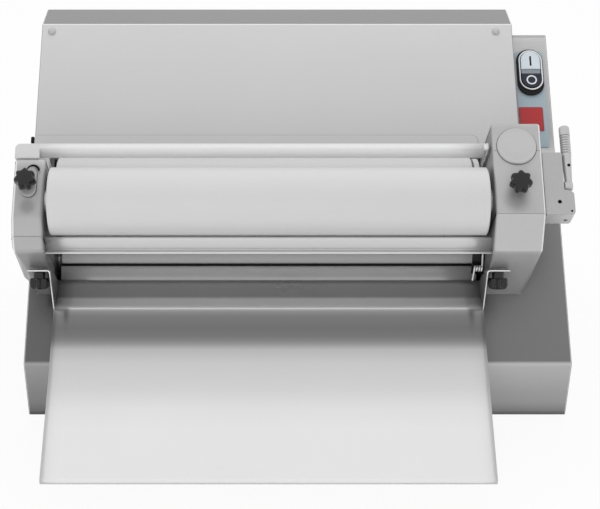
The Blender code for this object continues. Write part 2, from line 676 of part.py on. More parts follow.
def adjusting_block():
    (x0, x1), (u0, u1) = BLOCK_X, BLOCK_U
    notch = [(x1, NOTCH_U - 3.5), (NOTCH_X + 4, NOTCH_U), (NOTCH_X, NOTCH_U), (NOTCH_X, u1)]
    corners = [(x0, u0), (x1, u0)] + notch
    outline = round_corners(corners + [(x0, u1)], (1, 4, 3, 0, 0, 2, 1), 3)
    case = slope_plate("adjusting_block", [outline], BLOCK_N[0], BLOCK_N[1], (CAST, 0.4, 0.9))
    bore = cylinder("gap_shaft_bore", 5.4, x0 - 4, NOTCH_X + 4, on_slope(*LEVER_UN), 24)
    boolean(case, bore)
    for name, x, u, r in (("oil_hole", 333.8, 158.8, 2.4), ("grub_hole", 347.0, 147.4, 1.4)):
        hole = turned(name, ((0, 6), (r, 6), (r, -6), (0, -6)), 16)
        hole.location = place_un(x, u, BLOCK_N[1])
        hole.rotation_euler = (SLOPE, 0, 0)
        boolean(case, hole)
    face_hole = turned("face_hole", ((0, 6), (2.4, 6), (2.4, -6), (0, -6)), 16)
    face_hole.location = place_un(342.5, BLOCK_U[0], 100.0)
    face_hole.rotation_euler = (SLOPE + math.pi / 2, 0, 0)
    boolean(case, face_hole)


def gap_lever():
    """The lever turns about the cross shaft at LEVER_UN; at rest its grip lies along the slope."""
    reach = GRIP_TOP_U - LEVER_UN[0]
    profile = [(0, reach), (4.6, reach), (6.2, reach - 1.6), (6.2, reach - 12)]
    for k in range(7):
        top = reach - 12 - 3.2 * k
        profile += [(5.4, top - 0.4), (5.4, top - 1.2), (6.0, top - 1.6), (6.0, top - 3.2)]
    profile += [(5.6, reach - 36), (3.4, 8), (3.4, 0), (0, 0)]
    grip = turned("gap_lever", profile, 24, (BRIGHT_STEEL, 0.35, 1.0))
    grip.location = place_un(LEVER_X, *LEVER_UN)
    grip.rotation_euler = (SLOPE - math.pi / 2, 0, 0)
    hub = cylinder("lever_hub", 6.8, NOTCH_X + 0.9, 351.6, on_slope(*LEVER_UN), 32)
    boolean(grip, hub, "UNION")
    pin_hole = turned("lever_pin_hole", ((0, 3), (1.5, 3), (1.5, -3), (0, -3)), 12)
    pin_hole.location = place_un(LEVER_X + 1.0, 206.0, LEVER_UN[1] + 5.4)
    pin_hole.rotation_euler = (SLOPE, 0, 0)
    boolean(grip, pin_hole)
    cylinder("gap_shaft", 5.0, 276.0, NOTCH_X + 0.6, on_slope(*LEVER_UN), 24, (BRIGHT_STEEL, 0.35, 1.0))


def control_plate():
    corners = [(317.0, 419.0), (354.3, 419.0), (354.3, 283.3), (317.0, 283.3)]
    outline = round_corners(corners, (3, 3, 3, 3), 3)
    slope_plate("control_plate", [outline], GAP, 1.1, (LABEL_BLUE, 0.4, 0.0))
    warning = round_corners(box_outline(317.9, 349.3, 305.6, 339.0), (2, 2, 2, 2), 3)
    slope_plate("blank_label", [warning], 1.4, 2.0, (LABEL_RED, 0.4, 0.0))


def stadium(half_width, length, steps=10):
    """A round-ended outline about (0, 0), longest along its second axis."""
    points = []
    straight = length / 2 - half_width
    for centre, start in ((straight, 0.0), (-straight, math.pi)):
        for k in range(steps + 1):
            angle = start + math.pi * k / steps
            points.append((half_width * math.cos(angle), centre + half_width * math.sin(angle)))
    return points


def shifted(points, x, u):
    return [(x + a, u + b) for a, b in points]


def push_buttons():
    mid_x, mid_u = BUTTONS_XU
    base = shifted(stadium(17.0, 66.0), mid_x - 1.6, mid_u - 2.0)
    recess = shifted(stadium(11.6, 52.5), mid_x, mid_u)
    base_plate = slope_plate("switch_base", [base, recess], 1.4, 4.4, (BLACK, 0.5, 0.0))
    ring = shifted(stadium(14.6, 58.0), mid_x, mid_u)
    slope_plate("switch_bezel", [ring, recess], 4.7, 7.7, (BRIGHT_STEEL, 0.15, 1.0))
    add_bevel(base_plate, 0.8, 1)
    half, rim = 11.2, shifted(stadium(11.2, 51.6), mid_x, mid_u)
    low, high = LENS_U[0] - GAP, LENS_U[1] + GAP
    top = [(mid_x + half, high)] + [point for point in rim if point[1] > mid_u] + [(mid_x - half, high)]
    bottom = [(mid_x - half, low)] + [point for point in rim if point[1] < mid_u] + [(mid_x + half, low)]
    slope_plate("start_button", [top], 3.2, 8.6, (WHITE, 0.35, 0.0))
    slope_plate("stop_button", [bottom], 3.2, 8.6, (BLACK, 0.35, 0.0))
    lens = box_outline(mid_x - half, mid_x + half, *LENS_U)
    slope_plate("switch_lens", [round_corners(lens, (1, 1, 1, 1), 2)], 1.6, 7.6, (DARK_STEEL, 0.3, 0.0))


def main():
    clear_scene()
    body_shell()
    side_panels()
    back_panel()
    bottom_plate()
    feet()
    cable_gland()
    hood()
    hood_trim()
    side_frames()
    left_cover()
    right_cover()
    rollers()
    bushes()
    drive()
    gearmotor()
    infeed_guard()
    scraper_rail()
    lower_scraper()
    spring_clip()
    chute()
    knobs()
    cover_trim()
    adjusting_block()
    gap_lever()
    control_plate()
    push_buttons()


main()
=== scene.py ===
"""Looks of the countertop dough sheeter: satin sheet metal, cast covers, white rollers, black clamp knobs.

Pieces are built in world metres. Sizes are in millimetres: X is across from the middle of the rollers, Y
back from the front wall, Z up, U up the slope from its front edge, and N square off the slope."""

import json
import math

import bmesh
import bpy
import numpy as np
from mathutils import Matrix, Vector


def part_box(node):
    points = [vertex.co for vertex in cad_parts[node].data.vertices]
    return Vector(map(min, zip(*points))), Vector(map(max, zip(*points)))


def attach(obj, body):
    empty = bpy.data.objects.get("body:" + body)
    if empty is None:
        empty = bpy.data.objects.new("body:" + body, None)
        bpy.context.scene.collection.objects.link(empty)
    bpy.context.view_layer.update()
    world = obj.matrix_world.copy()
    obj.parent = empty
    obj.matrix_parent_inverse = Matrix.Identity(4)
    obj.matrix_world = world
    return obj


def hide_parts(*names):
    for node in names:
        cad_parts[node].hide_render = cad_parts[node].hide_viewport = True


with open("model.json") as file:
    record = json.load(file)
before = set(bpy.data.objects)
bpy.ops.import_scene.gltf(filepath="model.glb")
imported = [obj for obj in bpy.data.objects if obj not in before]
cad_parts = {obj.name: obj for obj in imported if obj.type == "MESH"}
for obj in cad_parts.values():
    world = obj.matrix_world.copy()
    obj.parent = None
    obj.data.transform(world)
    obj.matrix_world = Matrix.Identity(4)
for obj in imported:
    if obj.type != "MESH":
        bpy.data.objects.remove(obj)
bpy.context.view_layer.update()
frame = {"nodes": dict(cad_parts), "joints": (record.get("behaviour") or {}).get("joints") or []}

MM = 0.001
JOINTS = {joint["name"]: joint for joint in frame["joints"]}
ROLLER_X = JOINTS["front_spin"]["pos_m"][0] / MM
FRONT_Y = -122.2
BASE_Z, EDGE_Z = 12.0, 86.5
SLOPE = math.radians(37.5)
SLOPE_LENGTH = 444.0
UP_SLOPE = np.array([0, math.cos(SLOPE), math.sin(SLOPE)])
OFF_SLOPE = np.array([0, -math.sin(SLOPE), math.cos(SLOPE)])
BODY_LEFT, BODY_RIGHT = -290.0, 359.0
WALL_X = 260.0
SHEET = 1.5
SHARP_ANGLE = math.radians(32)

WORLD_LIGHT = 0.60
FLOOR_GLOW = 0.92
LAMPS = (
    ("top_back", (1.6, 1.0), 16.0, (0.1, 0.9, 1.7), (0.0, 0.05, 0.2)),
    ("front", (1.6, 1.0), 14.0, (-0.3, -1.9, 0.9), (0.0, 0.0, 0.15)),
)


# ---- places

def grid_of(*parts):
    """The parts broadcast together as the last axis of one array."""
    return np.stack(np.broadcast_arrays(*parts), axis=-1).astype(float)


def from_yz(x, y, z):
    """World metres of points given by X, Y from the front wall and Z."""
    return grid_of((ROLLER_X + np.asarray(x)) * MM, (FRONT_Y + np.asarray(y)) * MM, np.asarray(z) * MM)


def slope_yz(u, n):
    """Y and Z of points U up the slope and N off it."""
    u, n = np.asarray(u, float), np.asarray(n, float)
    return u * math.cos(SLOPE) - n * math.sin(SLOPE), EDGE_Z + u * math.sin(SLOPE) + n * math.cos(SLOPE)


def from_un(x, u, n):
    """World metres of points given by X, U and N."""
    return from_yz(x, *slope_yz(u, n))


def u_of(y, z):
    """How far up the slope points given by Y and Z lie."""
    return y * math.cos(SLOPE) + (z - EDGE_Z) * math.sin(SLOPE)


def unit(vector):
    vector = np.asarray(vector, float)
    return vector / np.linalg.norm(vector)


# ---- outlines

def whole_turn(steps):
    return np.linspace(0, 2 * math.pi, steps, endpoint=False)


def rounded(points, radii, closed=False, steps=6):
    """The outline with every corner replaced by an arc that touches both of its sides."""
    points = np.asarray(points, float)
    radii = np.broadcast_to(np.asarray(radii, float), len(points)).copy()
    if not closed:
        radii[[0, -1]] = 0.0
    before, after = np.roll(points, 1, axis=0) - points, np.roll(points, -1, axis=0) - points
    back, ahead = np.linalg.norm(before, axis=1), np.linalg.norm(after, axis=1)
    a, b = before / back[:, None], after / ahead[:, None]
    half = np.arccos(np.clip((a * b).sum(axis=1), -0.999999, 0.999999)) / 2
    reach = np.minimum(radii / np.tan(half), 0.49 * np.minimum(back, ahead))
    radius = reach * np.tan(half)
    middle = a + b
    middle /= np.maximum(np.linalg.norm(middle, axis=1), 1e-9)[:, None]
    centre = points + middle * (radius / np.sin(half))[:, None]
    first, last = points + a * reach[:, None] - centre, points + b * reach[:, None] - centre
    start = np.arctan2(first[:, 1], first[:, 0])
    turn = (np.arctan2(last[:, 1], last[:, 0]) - start + math.pi) % (2 * math.pi) - math.pi
    angle = start[:, None] + turn[:, None] * np.linspace(0, 1, steps + 1)
    arcs = centre[:, None] + radius[:, None, None] * np.stack([np.cos(angle), np.sin(angle)], -1)
    sharp = radii <= 0
    arcs[sharp] = points[sharp, None]
    flat = arcs.reshape(-1, 2)
    new = np.linalg.norm(flat - np.roll(flat, 1, axis=0), axis=1) > 1e-6
    new[0] = True
    return flat[new]


def lengths(path):
    """How far along the path each of its points lies."""
    return np.concatenate([[0], np.cumsum(np.linalg.norm(np.diff(path, axis=0), axis=1))])


def points_at(path, stops):
    """The points of the path at those distances along it."""
    length = lengths(path)
    return np.stack([np.interp(stops, length, path[:, i]) for i in range(path.shape[1])], axis=-1)


def measured(path, step):
    """The path with points added so that none are further apart than step; its own corners stay."""
    length = lengths(path)
    count = max(2, int(length[-1] / step) + 1)
    stops = np.union1d(length, np.linspace(0, length[-1], count))
    stops = stops[np.concatenate([[True], np.diff(stops) > 1e-5])]
    return points_at(path, stops)


def side_of(path, closed=False):
    """Unit normals of a flat path, to the left of its direction."""
    if closed:
        along = np.roll(path, -1, axis=0) - np.roll(path, 1, axis=0)
    else:
        along = np.gradient(path, axis=0)
    along /= np.maximum(np.linalg.norm(along, axis=1), 1e-9)[:, None]
    return np.stack([-along[:, 1], along[:, 0]], axis=-1)


def rounded_box(a0, a1, b0, b1, radii):
    """A closed rectangle whose corners are rounded, from the low corner on: by one radius, or by one
    each."""
    return rounded([(a0, b0), (a1, b0), (a1, b1), (a0, b1)], radii, closed=True)


def stadium(half_width, length, centre, steps=24):
    """A round-ended outline, longest along its second axis."""
    angle = whole_turn(2 * steps) + math.pi / (2 * steps)
    shift = np.where(np.sin(angle) > 0, 1, -1) * (length / 2 - half_width)
    return np.stack([centre[0] + half_width * np.cos(angle),
                     centre[1] + shift + half_width * np.sin(angle)], -1)


# ---- meshes

def surface(name, grid, close_rows=False, close_columns=False, keep=None, solid=True, sort=None):
    """A mesh object of quads over a grid of points (rows, columns, 3). keep masks the quads that stay,
    and sort gives each quad the number of its material."""
    rows, columns = grid.shape[:2]
    index = np.arange(rows * columns).reshape(rows, columns)
    if close_columns:
        index = np.concatenate([index, index[:, :1]], axis=1)
    if close_rows:
        index = np.concatenate([index, index[:1]], axis=0)
    quads = np.stack([index[:-1, :-1], index[:-1, 1:], index[1:, 1:], index[1:, :-1]], axis=-1)
    sort = np.zeros(quads.shape[:2], int) if sort is None else np.broadcast_to(sort, quads.shape[:2])
    keep = np.ones(quads.shape[:2], bool) if keep is None else keep
    quads, sort = quads[keep], sort[keep]
    mesh = bpy.data.meshes.new(name)
    mesh.vertices.add(rows * columns)
    mesh.vertices.foreach_set("co", grid.reshape(-1).astype(np.float32))
    mesh.loops.add(quads.size)
    mesh.loops.foreach_set("vertex_index", quads.reshape(-1).astype(np.int32))
    mesh.polygons.add(len(quads))
    mesh.polygons.foreach_set("loop_start", np.arange(0, quads.size, 4, dtype=np.int32))
    mesh.polygons.foreach_set("material_index", sort.astype(np.int32))
    mesh.update(calc_edges=True)
    shape = bmesh.new()
    shape.from_mesh(mesh)
    bmesh.ops.remove_doubles(shape, verts=shape.verts, dist=2e-6)
    bmesh.ops.delete(shape, geom=[v for v in shape.verts if not v.link_faces], context="VERTS")
    if solid:
        bmesh.ops.recalc_face_normals(shape, faces=shape.faces)
    shape.to_mesh(mesh)
    shape.free()
    mesh.shade_smooth()
    mesh.set_sharp_from_angle(angle=SHARP_ANGLE)
    piece = bpy.data.objects.new(name, mesh)
    bpy.context.scene.collection.objects.link(piece)
    return piece


def turned(name, profile, foot, axis, steps=96):
    """A body of revolution: profile (radius, height) in millimetres turned about axis through foot in
    metres. Each point is foot + height * axis + radius * (cos(turn) * e1 + sin(turn) * e2)."""
    profile = np.asarray(profile, float) * MM
    axis = unit(axis)
    e1 = unit(np.cross(axis, (0.0, 0.6, 0.8) if abs(axis[0]) > 0.9 else (1.0, 0.0, 0.0)))
    e2 = np.cross(axis, e1)
    turn = whole_turn(steps)
    ring = np.cos(turn)[:, None] * e1 + np.sin(turn)[:, None] * e2
    grid = np.asarray(foot, float) + profile[:, None, 1:] * axis + profile[:, None, :1] * ring[None]
    return surface(name, grid, close_columns=True)


def rounded_prism(name, path, feet, x_in, x_out, edge, arc=5):
    """A closed body whose side outline (Y, Z) runs along path. Rows start at feet on the inner side,
    climb to the path, turn over a quarter round of radius edge, cross to the outer side and go down to
    feet again. The outer round has material 1, a painted highlight, its lower end material 3, a painted
    dark outline, and the inner wall material 2."""
    normal = side_of(path)
    sign = 1.0 if np.mean(x_out) > np.mean(x_in) else -1.0
    x_in = np.broadcast_to(x_in, len(path)).astype(float)
    x_out = np.broadcast_to(x_out, len(path)).astype(float)
    phi = np.linspace(0, math.pi / 2, arc + 1)[:, None]
    pull = edge * (1 - np.sin(phi))
    step = sign * edge * (1 - np.cos(phi))
    xs = np.concatenate([x_in[None], x_in + step, (x_out - step)[::-1], x_out[None]])
    off = np.concatenate([pull, pull[::-1]])[:, :, None] * np.ones((1, len(path), 1))
    body = path[None] - off * normal[None]
    yz = np.concatenate([feet[None], body, feet[None]])
    rows = np.arange(len(xs))
    # Painted highlight on the middle rows of the outer round, and painted shade as a dark outline on its last
    # rows.
    worn = (rows > arc + 2) & (rows < 2 * arc)
    shade = (rows >= 2 * arc) & (rows < 2 * arc + 2)
    sort = np.where(worn, 1, np.where(rows < 1, 2, np.where(shade, 3, 0)))
    sort = sort[:, None] * np.ones(len(path) - 1, int)
    return surface(name, from_yz(xs, yz[..., 0], yz[..., 1]), close_rows=True, sort=sort)


def plate(name, outline, n0, n1, edge, place=from_un, rings=6):
    """A plate with a rounded rim: rings of its outline, drawn in by a quarter round at both faces, and
    closed to a point at its centre. place puts its outline and its levels n0 to n1 into the world."""
    outline = np.asarray(outline, float)
    centre = outline.mean(axis=0)
    normal = side_of(outline, closed=True)
    inwards = np.sign(np.sum((centre - outline) * normal))
    phi = np.linspace(0, math.pi / 2, 5)
    pull = edge * (1 - np.sin(phi))
    height = edge * (1 - np.cos(phi))
    rim = outline[None] + inwards * normal[None] * np.concatenate([pull, pull[::-1]])[:, None, None]
    level = np.concatenate([n0 + height, (n1 - height)[::-1]])
    shrink = np.linspace(1, 0, rings + 1)[1:, None, None]
    top = centre + (rim[-1] - centre)[None] * shrink
    bottom = centre + (rim[0] - centre)[None] * shrink[::-1]
    flat = np.concatenate([bottom, rim, top])
    n = np.concatenate([np.full(rings, n0), level, np.full(rings, n1)])
    return surface(name, place(flat[..., 0], flat[..., 1], n[:, None]), close_columns=True)


def folded(name, path, x0, x1, thickness, bend, side=0.0, edged=True):
    """A folded sheet: the (Y, Z) path with rounded bends carried straight across from x0 to x1. Its cut
    edges have the second material, a painted highlight, where edged is set."""
    path = measured(rounded(path, bend), 14.0)
    xs = np.linspace(x0, x1, 12)[:, None]
    piece = surface(name, from_yz(xs, path[None, :, 0], path[None, :, 1]), solid=False)
    thicken(piece, thickness, side, edged)
    return piece


def thicken(piece, thickness, side, edged):
    """Gives a surface its sheet thickness: side is 1 for all of it along the normals, -1 for all against
    them."""
    wall = piece.modifiers.new("wall", "SOLIDIFY")
    wall.thickness = thickness * MM
    wall.offset = side
    wall.use_even_offset = True
    wall.material_offset_rim = int(edged)


def face_vectors(piece, key):
    """The normal or the center of every face of a piece."""
    vectors = np.zeros(len(piece.data.polygons) * 3)
    piece.data.polygons.foreach_get(key, vectors)
    return vectors.reshape(-1, 3)


def sort_faces(piece, sort):
    """Gives every face the number of its material."""
    piece.data.polygons.foreach_set("material_index", np.asarray(sort).astype(np.int32))


def eased(node, width):
    """Breaks the sharp edges of a carried-over part: its triangles are welded, then bevelled."""
    weld = node.modifiers.new("weld", "WELD")
    weld.merge_threshold = 0.000005
    bevel = node.modifiers.new("edge", "BEVEL")
    bevel.width = width * MM
    bevel.segments = 3
    bevel.limit_method = "ANGLE"
    bevel.angle_limit = SHARP_ANGLE
    bevel.harden_normals = False


# ---- shader maths

class Wire:
    """One value in a material's node tree. Arithmetic on it adds Math nodes."""

    def __init__(self, tree, socket):
        self.tree = tree
        self.socket = socket

    def node(self, kind, settings=None, inputs=None, output=0):
        """Adds a node: its settings first, then the values or wires of its sockets, and returns an
        output."""
        made = self.tree.nodes.new(kind)
        for key, value in (settings or {}).items():
            if key == "stops":
                ramp = made.color_ramp.elements
                while len(ramp) < len(value):
                    ramp.new(0.5)
                for stop, (position, colour) in zip(ramp, value):
                    stop.position = position
                    stop.color = colour
            else:
                setattr(made, key, value)
        for key, value in (inputs or {}).items():
            if isinstance(value, Wire):
                self.tree.links.new(value.socket, made.inputs[key])
            else:
                made.inputs[key].default_value = value
        return Wire(self.tree, made.outputs[output])

    def math(self, operation, *values):
        return self.node("ShaderNodeMath", {"operation": operation}, dict(enumerate(values)))

    def __add__(self, other):
        return self.math("ADD", self, other)

    def __sub__(self, other):
        return self.math("SUBTRACT", self, other)

    def __rsub__(self, other):
        return self.math("SUBTRACT", other, self)

    def __mul__(self, other):
        return self.math("MULTIPLY", self, other)

    def __truediv__(self, other):
        return self.math("DIVIDE", self, other)

    __radd__ = __add__
    __rmul__ = __mul__

    def between(self, low, high):
        """0 below low, 1 above high, and a smooth step in between."""
        inputs = {"Value": self, "From Min": low, "From Max": high}
        return self.node("ShaderNodeMapRange", {"interpolation_type": "SMOOTHSTEP"}, inputs)

    def mixed(self, low, high):
        """The colour low where this wire is 0 and high where it is 1."""
        inputs = {"Factor": self, 6: low, 7: high}
        return self.node("ShaderNodeMix", {"data_type": "RGBA"}, inputs, 2)

    def scaled(self, level):
        """This colour times a level."""
        return self.node("ShaderNodeVectorMath", {"operation": "SCALE"}, {0: self, "Scale": level})

    def shading(self, colour, amount):
        """The colour made darker or lighter by amount as this wire goes from 0 to 1."""
        span = {"Value": self, "To Min": 1 - amount, "To Max": 1 + amount}
        plain = colour if isinstance(colour, Wire) else colour[:3]
        inputs = {0: plain, "Scale": self.node("ShaderNodeMapRange", inputs=span)}
        return self.node("ShaderNodeVectorMath", {"operation": "SCALE"}, inputs)


def grey(level, tint=(0.0, 0.0, 0.0)):
    """A colour of that display level, 0 to 255, as the linear values that a shader takes."""
    shown = np.clip((level + np.asarray(tint)) / 255, 0, 1)
    linear = np.where(shown <= 0.04045, shown / 12.92, ((shown + 0.055) / 1.055) ** 2.4)
    return (*(float(value) for value in linear), 1.0)


class Finish:
    """A material being made: its position wires, and the settings of its Principled shader."""

    def __init__(self, name, roughness, metallic, **fixed):
        self.material = bpy.data.materials.new(name)
        self.material.use_nodes = True
        self.tree = self.material.node_tree
        self.shader = self.tree.nodes["Principled BSDF"]
        self.set(Roughness=roughness, Metallic=metallic, **fixed)
        start = Wire(self.tree, None)
        self.place = start.node("ShaderNodeTexCoord", output=3)
        split = self.place.node("ShaderNodeSeparateXYZ", inputs={0: self.place})
        self.x = split
        self.y = Wire(self.tree, split.socket.node.outputs[1])
        self.z = Wire(self.tree, split.socket.node.outputs[2])

    def set(self, **values):
        for key, value in values.items():
            name = key.replace("_", " ")
            if isinstance(value, Wire):
                self.tree.links.new(value.socket, self.shader.inputs[name])
            else:
                self.shader.inputs[name].default_value = value

    def noise(self, scale, detail, roughness=0.5, stretch=None):
        """Noise over the surface; stretch scales each axis first, so a small number draws streaks along
        it."""
        where = self.place
        if stretch is not None:
            where = where.node("ShaderNodeMapping", inputs={"Vector": where, "Scale": stretch})
        inputs = {"Vector": where, "Scale": scale, "Detail": detail, "Roughness": roughness}
        return where.node("ShaderNodeTexNoise", inputs=inputs)

    def bump(self, height, distance, strength):
        inputs = {"Height": height, "Distance": distance, "Strength": strength}
        self.set(Normal=height.node("ShaderNodeBump", inputs=inputs))

    def along(self, axis):
        """How far a point lies along one of the machine's own axes y, z, u and n, in metres."""
        y, z = self.y - FRONT_Y * MM, self.z - EDGE_Z * MM
        if axis == "u":
            return y * math.cos(SLOPE) + z * math.sin(SLOPE)
        if axis == "n":
            return z * math.cos(SLOPE) - y * math.sin(SLOPE)
        return y if axis == "y" else self.z

    def graded(self, axis, stops):
        """A grey that follows stops of (place along the axis in metres, display level)."""
        places = [place for place, _ in stops]
        low, high = min(places), max(places)
        wire = self.along(axis)
        share = wire.node("ShaderNodeMapRange", inputs={"Value": wire, "From Min": low, "From Max": high})
        marks = [((place - low) / (high - low), grey(level)) for place, level in stops]
        return share.node("ShaderNodeValToRGB", {"stops": marks}, {"Fac": share})

    def skin(self, colour, roughness, *layers):
        """Sets colour and roughness, varied by layers of (noise, change of tone, change of roughness)."""
        for noise, tone_change, roughness_change in layers:
            colour = noise.shading(colour, tone_change)
            roughness = roughness + roughness_change * (noise - 0.5)
        self.set(Base_Color=colour, Roughness=roughness)


# ---- finishes

GRAIN_X = (0.010, 1.0, 1.0)
GRAIN_Y = (1.0, 0.02, 1.0)


def brushed(name, stops, axis="u", grain=GRAIN_X, roughness=0.38, metallic=0.55, left_shade=0.0, brush=1.0):
    """Satin stainless sheet: fine brush lines across the machine, soft clouds of wear, and a graded tone.
    brush is how strong the lines are, and left_shade how much painted shade darkens the left end."""
    finish = Finish(name, roughness, metallic)
    base = finish.graded(axis, stops)
    # Painted shade: the left end of the sheet darker by left_shade.
    if left_shade:
        base = base.scaled(1.0 - left_shade * (1.0 - finish.x.between(-0.322, -0.20)))
    lines = finish.noise(2400.0, 3.0, 0.6, grain)
    clouds = finish.noise(9.0, 3.0)
    finish.skin(base, roughness, (lines, 0.03 * brush, 0.06 * brush), (clouds, 0.025, 0.12))
    finish.bump(lines, 0.00001, 0.10 * brush)
    return finish.material


def cast(name, tone, axis=None, tint=(0, 0, 1.5), knob_shadows=()):
    """Fine cast and bead-blasted aluminium: tiny pits, soft mottling, and painted shadows below the
    knobs, each given by its X and U, its radius and how much it darkens. The tone is one level, or stops
    along the axis that paint light and shade on it."""
    finish = Finish(name, 0.42, 0.35)
    base = finish.graded(axis, tone) if axis else grey(tone, tint)
    # Painted shadow under each knob: the tone darkens towards the spot.
    for x, u, radius, amount in knob_shadows:
        across, up = finish.x / MM - (ROLLER_X + x), finish.along("u") / MM - u
        away = finish.x.math("SQRT", across * across + up * up)
        base = base.scaled(1.0 - amount * (1.0 - away.between(radius * 0.25, radius)))
    pits = finish.noise(1400.0, 3.0, 0.65)
    mottle = finish.noise(28.0, 4.0, 0.6)
    smears = finish.noise(7.0, 2.0, 0.5, (1.0, 2.5, 2.5))
    finish.skin(base, 0.40, (pits, 0.05, 0.08), (mottle, 0.05, 0.16), (smears, 0.04, 0.0))
    finish.bump(pits + 2.0 * mottle, 0.00006, 0.4)
    return finish.material


def moulded(name, colour, roughness, grain_scale=1800.0, coat=0.0, specular=0.22):
    """Moulded plastic or rubber: a fine spark-eroded grain and faint handling marks."""
    finish = Finish(name, roughness, 0.0, Coat_Weight=coat, Specular_IOR_Level=specular)
    grain = finish.noise(grain_scale, 2.0, 0.6)
    marks = finish.noise(45.0, 4.0, 0.7)
    finish.skin(colour, roughness, (grain, 0.08, 0.0), (marks, 0.10, 0.10))
    finish.bump(grain, 0.00004, 0.35)
    return finish.material


def roller_white(name, level):
    """White turned plastic: hair-fine lathe rings round the axis and a satin, slightly cloudy skin."""
    finish = Finish(name, 0.36, 0.0)
    rings = finish.noise(1500.0, 2.0, 0.5, (1.0, 0.02, 0.02))
    clouds = finish.noise(14.0, 3.0)
    finish.skin(grey(level), 0.36, (rings, 0.010, 0.05), (clouds, 0.012, 0.10))
    finish.bump(rings, 0.00001, 0.3)
    return finish.material


def polished(name, level, roughness, metallic):
    """Bright worked steel: fine draw lines and a few dull spots."""
    finish = Finish(name, roughness, metallic)
    lines = finish.noise(1100.0, 2.0, 0.6, (0.03, 1.0, 1.0))
    spots = finish.noise(60.0, 4.0, 0.7)
    finish.skin(grey(level), roughness, (lines, 0.04, 0.08), (spots, 0.04, 0.12))
    finish.bump(lines, 0.00001, 0.3)
    return finish.material


def printed_film(name, colour, rim_colour=None, box=None):
    """A blank printed film label: a satin film with faint orange peel. Where box gives its ends in X and
    U, it has another colour in a thin band inside its rim."""
    finish = Finish(name, 0.35, 0.0, Coat_Weight=0.2)
    peel = finish.noise(700.0, 2.0)
    fade = finish.noise(20.0, 3.0)
    if box is not None:
        left, right, low, high = (place * MM for place in box)
        x, u = finish.x - ROLLER_X * MM, finish.along("u")
        inset_x = x.math("MINIMUM", x - left, right - x)
        inset_u = u.math("MINIMUM", u - low, high - u)
        rim = 1.0 - x.math("MINIMUM", inset_x, inset_u).between(0.0004, 0.0012)
        colour = rim.mixed(colour, rim_colour)
    finish.skin(colour, 0.33, (fade, 0.03, 0.08), (peel, 0.02, 0.0))
    finish.bump(peel, 0.00002, 0.3)
    return finish.material


# Painted light on the hood: the slide lighter towards its top, and a darker copy of it for the flat top.
HOOD_STEEL = brushed("hood_steel", [(0.26, 188), (0.31, 194), (0.36, 198), (0.43, 204), (0.452, 206)])
SHADED_HOOD_TOP_STEEL = brushed("hood_top_painted_shade", [(0.2, 142), (0.5, 142)], roughness=0.42)
# Painted light and shade on the body sheet: the front wall darker at its foot, a painted highlight at the
# front fold, the slope darker below the covers, and a lighter band behind the left cover's throat.
BODY_STEEL = brushed("body_steel", [
    (-0.0454, 100), (-0.042, 122), (-0.038, 138), (-0.034, 150), (-0.025, 156), (-0.002, 176),
    (0.001, 190), (0.004, 116), (0.10, 120), (0.17, 126), (0.235, 130), (0.25, 215), (0.268, 215),
    (0.285, 180), (0.30, 168), (0.41, 180), (0.44, 190)], left_shade=0.30)
SIDE_STEEL = brushed("side_steel", [(0.0, 168), (0.3, 186)], "z", GRAIN_Y)
# Painted light on the chute: a painted highlight along the crest, a dark band below it as a painted
# reflection of the machine's underside, and lighter towards the front edge.
CHUTE_STEEL = brushed("chute_steel", [
    (-0.150, 227), (-0.093, 229), (-0.071, 225), (-0.049, 212), (-0.020, 203), (-0.006, 187), (0.000, 153),
    (0.004, 133), (0.009, 120), (0.0175, 114), (0.026, 121), (0.0312, 127), (0.0356, 145), (0.038, 166),
    (0.0395, 225), (0.044, 250), (0.058, 250), (0.063, 168), (0.074, 170), (0.087, 180)], "y",
    roughness=0.30, metallic=0.65, brush=0.25)
# Painted shade: the cheeks darker towards the bottom.
CHEEK_STEEL = brushed("cheek_steel", [(0.13, 104), (0.155, 116), (0.19, 150), (0.196, 205)], "z")
# Painted light: the rail lighter towards its top.
RAIL_STEEL = brushed("rail_steel", [(0.2137, 196), (0.229, 207), (0.234, 214)], "z", roughness=0.30)
# Painted light: the guard's lip graded in tone along N.
LIP_STEEL = brushed("lip_steel", [(0.098, 226), (0.104, 226), (0.1085, 228), (0.1105, 230), (0.112, 216)],
                    "n", roughness=0.45, metallic=0.1)
PAD_STEEL = brushed("pad_steel", [(0.217, 204), (0.236, 208)], roughness=0.45, metallic=0.1)
INNER_STEEL = brushed("inner_steel", [(0.0, 150), (0.4, 150)], roughness=0.42)
# Painted light: the lower scraper lighter towards its top edge, darker below.
SCRAPER_STEEL = brushed("scraper_steel", [(0.128, 150), (0.146, 172), (0.153, 205), (0.160, 250)], "z",
                        roughness=0.40)
# Painted highlight: near-white steel for the sheets' rims, the hood's fold and the body's side rounds.
EDGE_HIGHLIGHT = polished("painted_edge_highlight", 242, 0.30, 0.3)
EDGE_SHADE = polished("edge_shade", 84, 0.45, 0.2)
LEVER_STEEL = polished("lever_steel", 190, 0.25, 0.7)
SHAFT_STEEL = polished("shaft_steel", 190, 0.28, 0.8)
SPRING_STEEL = polished("spring_steel", 225, 0.18, 0.6)
SCREW_STEEL = polished("screw_steel", 188, 0.30, 0.3)
CHROME = polished("switch_chrome", 225, 0.10, 0.9)
OILED_STEEL = polished("oiled_steel", 95, 0.35, 0.8)
# Painted shade on the left cover: its lower face darker, lighter again at its back, and a painted shadow
# under the knob.
LEFT_CAST = cast("left_cover_cast", [
    (0.088, 122), (0.0975, 138), (0.1085, 146), (0.1105, 176), (0.143, 174), (0.16, 170), (0.206, 174),
    (0.215, 198)], "u", knob_shadows=[(-278, 156, 13, 0.30)])
